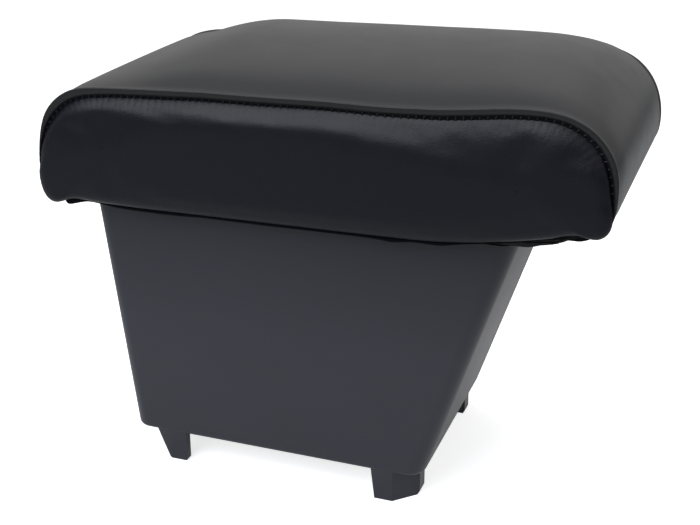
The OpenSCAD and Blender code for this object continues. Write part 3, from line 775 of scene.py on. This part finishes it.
def swollen(name, grid, hold, rows, columns, mask, closed=False, most=1.4, slack=0.0):
    """The grid with the movement of its coarse, pressed-out copy added."""
    net = sheet_piece(name + "_net", grid[rows][:, columns], FOAM, closed)
    held = net.vertex_groups.new(name="held")
    for i in np.flatnonzero(hold[rows][:, columns].reshape(-1)):
        held.add([int(i)], 1.0, "REPLACE")
    face_out(clean_up(net))
    rest, move = pressed_out(net, slack)
    far = np.linalg.norm(move, axis=1)
    move *= np.minimum(1.0, most / np.maximum(far, 1e-6))[:, None]
    carried = carried_over(grid.reshape(-1, 3), rest, move)
    carried = smoothed(carried.reshape(grid.shape) * mask[..., None], CARRY_ROUNDS, closed)
    if closed:
        inner = slice(-MEETING_RINGS, None)
        carried[:, inner] = smoothed(carried[:, inner], MEETING_ROUNDS, closed)
    print(f"{name}: {len(rest)} points in the net, moved {far.mean():.2f} mm on average,"
          f" {far.max():.2f} at most, carried {np.abs(carried).max():.2f}")
    return grid + carried


# %% Make the top cover
COVER_T = 1.1


def walled(piece, thickness_mm=COVER_T):
    """Give a skin its thickness, inwards from the face that shows."""
    wall = piece.modifiers.new("thickness", "SOLIDIFY")
    wall.thickness = thickness_mm * MM
    wall.offset = -1.0
    wall.use_rim = True
    return piece


def rides(piece, node):
    """Settle a leatherette piece: it moves with the lid and stands for a node of the lid."""
    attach(piece, "lid")
    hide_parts(node)
    return piece


# Rows that lie lower than this above the hem are held, and the net takes every sixth row
HELD_RISE, NET_STEP = 6.0, 6
edge_columns = len(EDGE) - 1
hold = np.zeros(cover_grid.shape[:2], bool)
hold[:, [edge_columns, -1 - edge_columns]] = True
hold[rise < HELD_RISE] = True
mask = np.zeros(cover_grid.shape[:2])
mask[:, edge_columns + 1:-1 - edge_columns] = 1.0
net_rows = np.append(np.arange(0, ROWS, NET_STEP), ROWS - 1)
net_columns = np.arange(edge_columns, cover_grid.shape[1] - edge_columns)
cover_grid = swollen("top_cover", cover_grid, hold, net_rows, net_columns, mask)
top_cover = rides(walled(sheet_piece("top_cover_leatherette", cover_grid, TOP_LEATHER)), "top_cover")
print("top cover faces:", len(top_cover.data.polygons))

# %% [markdown]
# ## The side panels
#
# Each side is one pillow-shaped panel. It starts inside the seam, slopes out below it and then
# stands nearly upright. The foam is slack below the seam, and more so towards the front, so the
# slope reaches farther down there. At the lower rear corner the panel swells out past the band,
# and at the front it ends in a small round lobe. The far panel is hidden in the photograph and is
# drawn with fewer points.

# %% Outline of a side panel
# From the lower end of the seam at the front, back along the lower edge, to the rear end
NEAR_EDGE = [
    (142.2, 176.0), (142.5, 171.8), (142.3, 168.2), (141.4, 165.2), (139.8, 163.2), (138.0, 162.0),
    (136.0, 161.5), (133.8, 161.7), (131.4, 162.7), (128.4, 163.2), (124.2, 162.4), (118.0, 160.5),
    (111.9, 159.0), (102.0, 157.0), (84.0, 153.9), (65.5, 151.8), (56.0, 151.4), (37.0, 151.0),
    (7.0, 150.7), (-24.0, 150.4), (-56.0, 150.1), (-89.0, 149.8), (-112.0, 150.2), (-118.0, 150.6),
    (-124.0, 150.9), (-129.0, 150.0), (-132.8, 148.2), (-135.6, 147.2), (-138.6, 147.4),
    (-141.4, 149.2), (-143.4, 152.6), (-144.6, 157.4), (-144.9, 162.4), (-144.2, 167.0),
    (-143.0, 171.0),
]
FAR_EDGE = [
    (142.3, 175.0), (141.9, 171.5), (141.0, 168.2), (139.0, 165.2), (135.5, 163.2), (131.0, 162.4),
    (124.0, 161.6), (112.0, 158.6), (98.0, 156.0), (84.0, 153.6), (65.5, 151.6), (37.0, 150.8),
    (7.0, 150.5), (-24.0, 150.3), (-56.0, 150.2), (-89.0, 150.2), (-112.0, 150.4), (-124.0, 150.2),
    (-133.0, 149.4), (-138.0, 150.0), (-141.0, 152.2), (-143.0, 156.0), (-143.9, 161.0),
    (-143.8, 166.0), (-143.2, 171.0),
]
# The panel starts this far inside the seam, where the band is wide enough
GAP, GAP_BAND = 0.9, 3.0
# The seam bounds the panel down to these heights, at the front and at the rear
SEAM_ENDS_FRONT, SEAM_ENDS_REAR = 182.0, 176.0
OUTLINE_POINTS, OUTLINE_ROUNDS = 1600, 60
# Points along the middle line, and around each end
MIDDLE, ENDS = 220, 130
REAR_POINT, FRONT_POINT, SPINE_Z = -104.0, 100.0, 181.0


def level(loop, chosen, x):
    """Points at given places along the lid, on the chosen stretch of a loop."""
    stretch = loop[chosen]
    stretch = stretch[np.argsort(stretch[:, 0])]
    return np.column_stack([x, np.interp(x, stretch[:, 0], stretch[:, 1])])


def around_end(loop, first, last):
    """The stretch of a loop between two of its points, at an even pitch and without them."""
    start = np.argmin(np.linalg.norm(loop - first, axis=1))
    turned = np.roll(loop, -start, axis=0)
    stop = np.argmin(np.linalg.norm(turned - last, axis=1))
    return spaced(np.vstack([first, turned[1:stop], last]), ENDS + 2)[1:-1]


def panel_outline(seam, edge):
    """The closed outline in four runs: top, front end, bottom (same x as the top), rear end."""
    inner = seam - outward(seam) * (GAP * smooth_step(band / GAP_BAND))[:, None]
    bounds_rear = (inner[:, 0] < 0) & (inner[:, 1] > SEAM_ENDS_REAR)
    top = inner[(inner[:, 1] > SEAM_ENDS_FRONT) | bounds_rear]
    loop = spaced(np.vstack([top, np.array(edge, float)]), OUTLINE_POINTS, closed=True)
    loop = smoothed(loop, OUTLINE_ROUNDS, closed=True)
    x = np.linspace(REAR_POINT, FRONT_POINT, MIDDLE)
    over = level(loop, loop[:, 1] > 190.0, x)
    under = level(loop, (loop[:, 1] < 170.0) & (np.abs(loop[:, 0]) < 125), x)[::-1]
    front = around_end(loop, over[-1], under[0])
    rear = around_end(loop, under[-1], over[0])
    return np.vstack([over, front, under, rear])


# %% Swelling of a side panel
# Rings of the hem: how far each is turned in, and what share of the way up to the board it goes
HEM_RINGS = [(17.0, 1.0), (8.0, 1.0), (4.6, 0.8), (2.4, 0.35), (0.9, 0.05)]
UNDER_BOARD, SHORT_HEM = 153.4, 5.0
# Rings of the face: distance from the edge, then shares of what is left to the middle line
DEPTHS = [0.0, 0.35, 0.8, 1.4, 2.1, 3.0, 4.0, 5.2, 6.6, 8.2, 10.0, 12.0, 14.5, 17.5, 21.0, 25.0]
INWARDS = [0.2, 0.4, 0.6, 0.8, 1.0]
EDGE_Y, FACE_Y = 74.6, 77.8
# The panel swells over this distance at its ends
SWELL = 7.0
# How far the slope under the seam reaches down, by place along the lid
SLOPE = [(-140, 15), (-60, 15.5), (0, 18), (30, 23), (75, 31), (110, 27), (140, 20)]
# Stitches dimple the edge by this much, fading inwards
DIMPLE, DIMPLE_FADE = 0.3, 2.6


def panel_grid(side, seam, edge):
    """Rings of the panel from its turned-in hem to its middle line, and how far each is in."""
    loop = panel_outline(seam, edge)
    normal = outward(loop, closed=True)
    low = smooth_step(-normal[:, 1] * 1.5)
    top = smooth_step(normal[:, 1] * 1.3)
    swell = SWELL - 1.0 * low + top * (np.interp(loop[:, 0], *np.transpose(SLOPE)) - SWELL)
    edge_y = EDGE_Y - (1.8 + 0.8 * smooth_step((loop[:, 0] - 10) / 60)) * top
    spine = np.column_stack([np.clip(loop[:, 0], REAR_POINT, FRONT_POINT), np.full(len(loop), SPINE_Z)])
    step = np.linalg.norm(np.roll(loop, -1, axis=0) - loop, axis=1)
    walk = np.cumsum(step) - step
    pulls = scallops(walk, step.sum() / round(step.sum() / STITCH))
    rings, depths = [], []
    # Hem: turned in under the board along the lower edge, short everywhere else
    for inward, lift in HEM_RINGS:
        reach = inward * low + min(inward, SHORT_HEM) * (1 - low)
        place = loop - normal * (0.12 * reach * (1 - low))[:, None]
        z = place[:, 1] + np.maximum(0, (UNDER_BOARD - place[:, 1])) * lift * low
        rings.append(np.column_stack([place[:, 0], side * (edge_y - reach), z]))
        depths.append(np.zeros(len(loop)))
    reach_in = np.linalg.norm(spine - loop, axis=1)
    toward = (spine - loop) / reach_in[:, None]
    radii = [np.full(len(loop), d) for d in DEPTHS]
    radii += [DEPTHS[-1] + (reach_in - DEPTHS[-1]) * t for t in INWARDS]
    for k, d in enumerate(radii):
        d = np.minimum(d, reach_in)
        q = np.clip(d / swell, 0, 1)
        round_in = np.sqrt(1 - (1 - q) ** 2) * (1 - top) + (1 - (1 - q) ** 3) * top
        out = edge_y + (FACE_Y - edge_y) * round_in
        out = out + (FACE_Y - out) * smooth_step((k - len(DEPTHS) + 1) / len(INWARDS))
        place = loop + toward * d[:, None]
        out = out - DIMPLE * pulls * np.exp(-d / DIMPLE_FADE) * (0.3 + 0.7 * top)
        rings.append(np.column_stack([place[:, 0], side * out, place[:, 1]]))
        depths.append(d)
    return np.array(rings).transpose(1, 0, 2), np.array(depths).T


# %% Make the side panels
# The hem and the rings up to this depth are held, and from there the movement fades in
HELD_DEPTH, FADE_IN = 1.4, 4.0
# The net takes every fifth point around the panel and every second ring from there on
PANEL_STEP, RING_STEP = 5, 2
HELD_RING = len(HEM_RINGS) + DEPTHS.index(HELD_DEPTH)
LAST_RING = len(HEM_RINGS) + len(DEPTHS) + len(INWARDS) - 1


def close_spine(grid):
    """Bring the rings from above and from below together on one middle line."""
    under = MIDDLE + ENDS
    spine = (grid[:MIDDLE, -1] + grid[under:under + MIDDLE, -1][::-1]) / 2
    grid[:MIDDLE, -1], grid[MIDDLE:under, -1] = spine, spine[-1]
    grid[under:under + MIDDLE, -1], grid[under + MIDDLE:, -1] = spine[::-1], spine[0]
    return grid


def side_cover(name, node, side, seam, edge):
    """One panel: laid out, pressed out, closed along its middle and given its thickness."""
    grid, depths = panel_grid(side, seam, edge)
    hold = np.zeros(depths.shape, bool)
    hold[:, :HELD_RING + 1] = True
    net_points = np.arange(0, len(grid), PANEL_STEP)
    net_rings = np.append(np.arange(HELD_RING, LAST_RING, RING_STEP), LAST_RING)
    fades_in = smooth_step((depths - HELD_DEPTH) / FADE_IN)
    grid = swollen(name, grid, hold, net_points, net_rings, fades_in,
                   closed=True, most=0.9, slack=0.001)
    piece = sheet_piece(name, close_spine(grid), SHADED_SIDE_LEATHER, closed=True)
    from_seam = piece.data.attributes.new("from_seam", "FLOAT", "POINT")
    from_seam.data.foreach_set("value", depths.reshape(-1) * MM)
    clean_up(piece)
    walled(piece)
    print(name, "faces:", len(piece.data.polygons))
    return rides(piece, node)


right_side = side_cover("right_side_leatherette", "right_side_cover", -1, near_seam, NEAR_EDGE)
left_side = side_cover("left_side_leatherette", "left_side_cover", 1, far_seam, FAR_EDGE)

# %% [markdown]
# ## The hem
#
# Below each side panel the leatherette is folded under and stapled. A little of the fold hangs
# out as an uneven line over the box, and it bunches up at both lower corners, where the cloth has
# nowhere to go. Its near-black colour is painted shade for the dark gap under the panel. It is a
# folded ribbon whose lower edge follows the photograph.

# %% Make the hems
HEM_LOW = [
    (-131.6, 149.2), (-131.2, 148.0), (-130.2, 146.9), (-128.1, 147.0), (-123.3, 148.4), (-118.6, 149.4),
    (-114.5, 149.3), (-111.7, 148.9), (-106.0, 148.5), (-94.7, 148.1), (-77.9, 148.0), (-66.8, 148.2),
    (-55.9, 148.8), (-23.9, 148.9), (12.0, 149.3), (27.0, 149.4), (36.9, 149.2), (41.7, 148.6),
    (46.6, 149.2), (51.4, 149.9), (56.2, 150.0), (65.7, 149.8), (70.4, 150.4), (75.1, 151.3),
    (84.3, 152.8), (93.5, 154.2), (102.5, 155.9), (106.9, 156.5), (111.3, 158.1), (115.7, 158.6),
    (120.1, 159.6), (125.3, 159.8), (128.8, 159.7), (131.4, 160.5), (133.0, 161.2),
]
HEM_ROWS = 300
HEM_Y = 72.3
# Section of the fold: outward, upward, and how much it waves there
FOLD = [
    (0.2, 2.8, 0.0), (1.2, 1.6, 0.2), (1.6, 0.75, 0.45), (1.62, 0.35, 0.8), (1.35, 0.1, 1.0),
    (0.9, 0.0, 1.0), (0.4, 0.12, 0.8), (0.1, 0.5, 0.5), (-0.3, 1.6, 0.1), (-0.9, 3.0, 0.0),
]
FOLD_HEIGHT = 3.0
# The fold hangs lower between its corners
SAG, SAG_FROM, SAG_TO = 0.5, -112, 75
# Where it bunches up at the rear and at the front
BUNCH_REAR, BUNCH_FRONT = -126, 124


def backing():
    """The knitted back of the leatherette, near black: painted shade where it shows in the groove and under
    the panels.
    """
    t = Tree("leatherette_back_shade_black")
    knit = t.noise(1600.0, 3.0)
    return t.surface(colour=t.mixed(knit, grey(0.0015, blue=0.4), grey(0.005, blue=0.4)), rough=0.95,
                     normal=t.bumped(knit, 0.6, 0.1), Specular_IOR_Level=0.08)


SHADE_BLACK_BACKING = backing()


def hem(name, node, side, low):
    """A folded ribbon under the panel: its section is a narrow, slightly open fold."""
    low = spaced(low, HEM_ROWS)
    x, z = low[:, 0], smoothed(low[:, 1], 2)
    z = z - SAG * smooth_step((x - SAG_FROM) / 12) * smooth_step((SAG_TO - x) / 15)
    ripple = 0.28 * np.sin(x / 2.3) + 0.2 * np.sin(x / 5.1 + 1.3) + 0.12 * np.sin(x / 1.1 + 0.4)
    bunch = np.exp(-((x - BUNCH_REAR) / 6) ** 2) + np.exp(-((x - BUNCH_FRONT) / 9) ** 2)
    top = z + 3.4 + 1.6 * bunch
    grid = []
    for out, up, wave in FOLD:
        share = up / FOLD_HEIGHT
        height = z * (1 - share) + top * share + 0.18 * wave * ripple
        y = side * (HEM_Y + out * (1 + 0.5 * bunch) + 0.9 * wave * ripple * (0.4 + bunch))
        grid.append(np.column_stack([x, y, height]))
    # The fold's near-black colour is painted shade for the gap between the panel and the box
    piece = sheet_piece(name, np.array(grid).transpose(1, 0, 2), SHADE_BLACK_BACKING)
    walled(piece, thickness_mm=0.5)
    return rides(piece, node)


right_hem = hem("right_hem_fold", "right_side_cover", -1, HEM_LOW)
left_hem = hem("left_hem_fold", "left_side_cover", 1, [(x, z - 0.2) for x, z in HEM_LOW[::2]])
print("hem faces:", len(right_hem.data.polygons) + len(left_hem.data.polygons))

# %% [markdown]
# ## Painted groove shade and stitches
#
# Between the band and the panel there is a narrow groove. A near-black strip lies behind it where
# the seam allowance is, and its colour is painted shade for the depth of the groove. The thread
# crosses the groove every 3.6 mm, a little slanted, as a lockstitch does when a cushion is filled
# and its seam is pulled open. One node tree lays a grain-shaped stitch on points along a line and
# turns each to the line; the line is the only thing that differs between the two sides.

# %% Painted groove shade
# Section of the shade strip: outward from the seam, and inward from the side of the lid
GROOVE_SHADE_SECTION = [(1.2, 1.6), (0.2, 2.0), (-1.2, 2.3), (-3.2, 2.9)]
GROOVE_SHADE_ENDS_Z = 170.0


def groove_shade_strip(name, side, seam):
    """A near-black strip behind the groove, as painted shade for the groove's depth."""
    normal = outward(seam)
    keep = seam[:, 1] > GROOVE_SHADE_ENDS_Z
    width = smooth_step(band / 2.5)
    grid = []
    for out, deep in GROOVE_SHADE_SECTION:
        place = seam + normal * (out * width)[:, None]
        y = np.full(ROWS, side * (SEAM_Y - deep))
        grid.append(np.column_stack([place[:, 0], y, place[:, 1]])[keep])
    piece = sheet_piece(name, np.array(grid).transpose(1, 0, 2), SHADE_BLACK_BACKING)
    walled(piece, thickness_mm=0.4)
    return rides(piece, "top_cover")


near_groove_shade = groove_shade_strip("near_groove_shade_strip", -1, near_seam)
far_groove_shade = groove_shade_strip("far_groove_shade_strip", 1, far_seam)
print("tape faces:", len(near_groove_shade.data.polygons) + len(far_groove_shade.data.polygons))


# %% A node tree for stitches
def thread_finish():
    t = Tree("sewing_thread")
    twist = t.noise(3500.0, 3.0)
    return t.surface(colour=t.mixed(twist, grey(0.003, blue=0.3), grey(0.010, blue=0.3)), rough=0.5,
                     normal=t.bumped(twist, 0.5, 0.08), Specular_IOR_Level=0.25)


THREAD = thread_finish()
# A stitch is a small ball drawn out into a grain, and its slant varies from stitch to stitch
STITCH_SIZES = [("Pitch", STITCH * MM), ("Stitch Length", 2.4 * MM), ("Thread Width", 0.65 * MM),
                ("Slant", 0.3), ("Unevenness", 0.12)]
GRAIN_SEGMENTS, GRAIN_RINGS = 10, 8
SLANT_SEED = 7
SIDEWAYS = (0.0, 1.0, 0.0)


def stitch_tree():
    """Grain-shaped stitches along a line, turned to it."""
    tree = bpy.data.node_groups.new("stitches_along_a_line", "GeometryNodeTree")
    face = tree.interface
    face.new_socket("Geometry", in_out="INPUT", socket_type="NodeSocketGeometry")
    for label, value in STITCH_SIZES:
        face.new_socket(label, in_out="INPUT", socket_type="NodeSocketFloat").default_value = value
    face.new_socket("Thread", in_out="INPUT", socket_type="NodeSocketMaterial")
    face.new_socket("Geometry", in_out="OUTPUT", socket_type="NodeSocketGeometry")

    def add(kind, inputs=None, **values):
        return add_node(tree, kind, values, inputs)

    def vector(operation, inputs):
        return add("ShaderNodeVectorMath", inputs, operation=operation).outputs[0]

    start = add("NodeGroupInput").outputs
    curve = add("GeometryNodeMeshToCurve", {0: start["Geometry"]})
    points = add("GeometryNodeCurveToPoints", {"Curve": curve.outputs[0], "Length": start["Pitch"]},
                 mode="LENGTH").outputs
    across = vector("CROSS_PRODUCT", {0: points["Tangent"], 1: SIDEWAYS})
    # A random value around nothing is added to the slant
    opposite = add("ShaderNodeMath", {0: start["Unevenness"], 1: -1.0}, operation="MULTIPLY")
    uneven = add("FunctionNodeRandomValue", {"Seed": SLANT_SEED}, data_type="FLOAT")
    spread = [n for n in uneven.inputs if n.name in ("Min", "Max") and n.type == "VALUE" and n.enabled]
    tree.links.new(opposite.outputs[0], spread[0])
    tree.links.new(start["Unevenness"], spread[1])
    drawn_value = [o for o in uneven.outputs if o.enabled][0]
    slant = add("ShaderNodeMath", {0: start["Slant"], 1: drawn_value}, operation="ADD")
    lean = vector("SCALE", {0: points["Tangent"], "Scale": slant.outputs[0]})
    turn = add("FunctionNodeAxesToRotation", {0: vector("ADD", {0: across, 1: lean}), 1: SIDEWAYS},
               primary_axis="X", secondary_axis="Y")
    grain = add("GeometryNodeMeshUVSphere", {
        "Segments": GRAIN_SEGMENTS, "Rings": GRAIN_RINGS, "Radius": 0.5,
    })
    size = add("ShaderNodeCombineXYZ", {
        "X": start["Stitch Length"], "Y": start["Thread Width"], "Z": start["Thread Width"],
    })
    lay = add("GeometryNodeInstanceOnPoints", {
        "Points": points["Points"], "Instance": grain.outputs[0],
        "Rotation": turn.outputs[0], "Scale": size.outputs[0],
    })
    real = add("GeometryNodeRealizeInstances", {0: lay.outputs[0]})
    sewn_up = add("GeometryNodeSetMaterial", {"Geometry": real.outputs[0], "Material": start["Thread"]})
    add("NodeGroupOutput", {0: sewn_up.outputs[0]})
    return tree


STITCHES = stitch_tree()
print("nodes in the stitch tree:", len(STITCHES.nodes))


# %% Sew both seams
# The thread lies in the groove: this far from the lid's middle, and this far inside the seam
THREAD_Y, THREAD_IN, THREAD_ENDS_Z = 73.0, 0.55, 172.0
GRAIN_POINTS = GRAIN_SEGMENTS * (GRAIN_RINGS - 1) + 2


def sewn(name, side, seam):
    """Run the stitch tree along a seam and keep the result as a plain mesh."""
    normal = outward(seam)
    keep = seam[:, 1] > THREAD_ENDS_Z
    line = (seam - normal * (THREAD_IN * smooth_step(band / GAP_BAND))[:, None])[keep]
    thread = bpy.data.meshes.new(name + "_line")
    points = [(x * MM, side * THREAD_Y * MM, z * MM) for x, z in line]
    thread.from_pydata(points, [(i, i + 1) for i in range(len(points) - 1)], [])
    carrier = placed(name + "_line", thread)
    way = carrier.modifiers.new("stitches", "NODES")
    way.node_group = STITCHES
    names = {item.name: item.identifier for item in STITCHES.interface.items_tree if item.in_out == "INPUT"}
    for label, value in STITCH_SIZES + [("Thread", THREAD)]:
        way[names[label]] = value
    ready = carrier.evaluated_get(bpy.context.evaluated_depsgraph_get())
    mesh = bpy.data.meshes.new_from_object(ready)
    bpy.data.objects.remove(carrier)
    stitches = placed(name, mesh)
    mesh.polygons.foreach_set("use_smooth", [True] * len(mesh.polygons))
    print(name, "stitches:", len(mesh.vertices) // GRAIN_POINTS, "faces:", len(mesh.polygons))
    return rides(stitches, "top_cover")


near_stitches = sewn("near_stitches", -1, near_seam)
far_stitches = sewn("far_stitches", 1, far_seam)

# %% [markdown]
# ## The foam
#
# The foam block fills the cover. It can't be seen on the finished lid, but it is there when the
# part is taken apart, so it repeats the cover's crown a little farther in and keeps the recess
# that the board sits in. Under the nose the cover rises towards the front, and the foam with it.

# %% Make the foam
# Above the board, and outside it, the block is drawn in under the covers, by a share each way
ABOVE_BOARD, OUTSIDE_BOARD = 161 * MM, 71.5 * MM
SHRINK_X, SHRINK_Y, SHRINK_Z = 0.98, 0.955, 0.96
# From here on its underside keeps clear above the cover that runs up to the nose
NOSE_START, NOSE_TOP, CLEAR_OF_COVER = 100 * MM, 172, 1.8
FOAM_SHARP_DEG = 40

foam = placed("foam_block", nodes["foam_pad"].data.copy())
shape = merged_shape(foam.data)
under_nose = near_crease[(near_crease[:, 0] > 99) & (near_crease[:, 1] < NOSE_TOP)][::-1]
for v in shape.verts:
    if v.co.x > NOSE_START:
        floor_mm = np.interp(v.co.x / MM, under_nose[:, 0], under_nose[:, 1]) + CLEAR_OF_COVER
        v.co.z = max(v.co.z, floor_mm * MM)
    if v.co.z > ABOVE_BOARD or abs(v.co.y) > OUTSIDE_BOARD:
        v.co.y *= SHRINK_Y
    if v.co.z > ABOVE_BOARD:
        v.co.x *= SHRINK_X
        v.co.z = ABOVE_BOARD + (v.co.z - ABOVE_BOARD) * SHRINK_Z
closed_shape(shape, foam.data, FOAM, FOAM_SHARP_DEG)
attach(foam, "lid")
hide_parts("foam_pad")
print("foam faces:", len(foam.data.polygons))

# %% [markdown]
# ## Floor and light
#
# The photograph shows the armrest on plain white, lit softly from above, with almost no shadow.
# The floor is pale and glows a little in the picture, which thins the shadow. Only near the
# armrest does its glow also show in the gloss, so the box's walls mirror a small pool of light.
# The white backdrop gives the gloss on the lid: bright overhead and behind, dim in front. A broad
# lamp above isn't mirrored and only fills, a cool one in front lights the slope of the near panel,
# and a weak one from the right lifts the box's front wall.

# %% Floor
WHITE = (1, 1, 1, 1)
# The pool of light that the gloss sees: full up to the first distance, gone at the second
POOL_FULL, POOL_GONE = 0.12, 0.42
FLOOR_HALF = 6000


def floor_finish(glow_seen, glow_near, glow_far):
    """A pale floor that takes shadows and glows towards white in the picture and in reflections."""
    finish = bpy.data.materials.new("white_floor")
    finish.use_nodes = True
    tree = finish.node_tree
    tree.nodes.clear()
    ray = add_node(tree, "ShaderNodeLightPath").outputs
    place = add_node(tree, "ShaderNodeTexCoord").outputs["Object"]
    away = add_node(tree, "ShaderNodeVectorMath", {"operation": "LENGTH"}, {0: place})
    pool = add_node(tree, "ShaderNodeMapRange", {"interpolation_type": "SMOOTHSTEP"}, {
        "Value": away.outputs["Value"], "From Min": POOL_FULL, "From Max": POOL_GONE,
        "To Min": glow_near, "To Max": glow_far,
    })
    mirrored = add_node(tree, "ShaderNodeMath", {"operation": "MULTIPLY"}, {
        0: ray["Is Glossy Ray"], 1: pool.outputs["Result"],
    })
    total = add_node(tree, "ShaderNodeMath", {"operation": "MULTIPLY_ADD"}, {
        0: ray["Is Camera Ray"], 1: glow_seen, 2: mirrored.outputs[0],
    })
    glow = add_node(tree, "ShaderNodeEmission", inputs={"Color": WHITE, "Strength": total.outputs[0]})
    lit = add_node(tree, "ShaderNodeBsdfDiffuse", inputs={"Color": (0.8, 0.8, 0.8, 1)})
    both = add_node(tree, "ShaderNodeAddShader", inputs={0: lit.outputs[0], 1: glow.outputs[0]})
    add_node(tree, "ShaderNodeOutputMaterial", inputs={"Surface": both.outputs[0]})
    return finish


corners = [(x * FLOOR_HALF, y * FLOOR_HALF, 0) for x, y in ((-1, -1), (1, -1), (1, 1), (-1, 1))]
floor = mesh_piece("floor", corners, [(0, 1, 2, 3)],
                   floor_finish(glow_seen=0.75, glow_near=0.4, glow_far=0.0), smooth=False)
print("floor is in place")

# %% Background
# Directions between which the backdrop changes, as parts of a unit vector
FRONT_Y, BACK_Y = -0.5, 0.3
LEVEL_Z, OVERHEAD_Z = 0.35, 0.95


def room(behind, before, overhead, fill):
    """A white backdrop for the camera; the gloss sees it bright behind and dim before the part."""
    world = bpy.data.worlds.new("white_room")
    bpy.context.scene.world = world
    world.use_nodes = True
    tree = world.node_tree
    tree.nodes.clear()
    ray = add_node(tree, "ShaderNodeLightPath").outputs
    place = add_node(tree, "ShaderNodeTexCoord").outputs["Generated"]
    axes = add_node(tree, "ShaderNodeSeparateXYZ", inputs={0: place}).outputs
    depth = add_node(tree, "ShaderNodeMapRange", inputs={
        "Value": axes["Y"], "From Min": FRONT_Y, "From Max": BACK_Y, "To Min": before, "To Max": behind,
    })
    height = add_node(tree, "ShaderNodeMapRange", inputs={
        "Value": axes["Z"], "From Min": LEVEL_Z, "From Max": OVERHEAD_Z, "To Max": overhead,
    })
    in_gloss = add_node(tree, "ShaderNodeMath", inputs={
        0: depth.outputs["Result"], 1: height.outputs["Result"],
    })
    shades = [
        add_node(tree, "ShaderNodeBackground", inputs={"Color": colour, "Strength": strength}).outputs[0]
        for colour, strength in ((WHITE, 1.0), (WHITE, in_gloss.outputs[0]), ((0.96, 0.98, 1.0, 1), fill))
    ]
    picture, gloss, light = shades
    for kind_of_ray, shade in (("Is Glossy Ray", gloss), ("Is Camera Ray", picture)):
        mixed = add_node(tree, "ShaderNodeMixShader", inputs={0: ray[kind_of_ray], 1: light, 2: shade})
        light = mixed.outputs[0]
    add_node(tree, "ShaderNodeOutputWorld", inputs={"Surface": light})
    return world


room(behind=0.70, before=0.3, overhead=1.9, fill=0.2)
print("background is in place")


# %% Lamps
def soft_lamp(name, place, aim_z, size, power):
    """A broad rectangular lamp, turned to a point above the middle of the part."""
    lamp = bpy.data.lights.new(name, "AREA")
    lamp.shape = "RECTANGLE"
    lamp.size, lamp.size_y = size
    lamp.energy = power
    holder = placed(name, lamp)
    holder.location = place
    way = Vector((0, 0, aim_z)) - Vector(place)
    holder.rotation_euler = way.to_track_quat("-Z", "Y").to_euler()
    return holder


above = soft_lamp("lamp_above", (0.1, 0.25, 1.4), aim_z=0.12, size=(1.2, 1.0), power=8.0)
above.visible_glossy = False
front = soft_lamp("lamp_front", (-0.45, -1.0, 1.05), aim_z=0.15, size=(1.2, 0.9), power=18.0)
front.data.color = (0.88, 0.935, 1.0)
soft_lamp("lamp_right", (1.3, 0.2, 0.7), aim_z=0.12, size=(0.8, 0.8), power=4.0)

# %% [markdown]
# ## Camera
#
# The box's edges and the lid's seams were measured in the photograph, and the camera whose
# picture of the part has them in the same places stands about 65 centimetres away, looking 22
# degrees down and 20 degrees round from the side.

# %% Camera
camera_data = bpy.data.cameras.new("camera")
camera_data.sensor_width = 36.0
camera_data.lens = 61.73
camera_data.clip_start = 0.02
camera = placed("camera", camera_data)
camera.location = (0.20064, -0.56836, 0.347)
camera.rotation_euler = (math.radians(68.091), 0.0, math.radians(19.847))
bpy.context.scene.camera = camera
bpy.context.scene.view_settings.view_transform = "Standard"
print("camera at", tuple(round(c, 3) for c in camera.location))
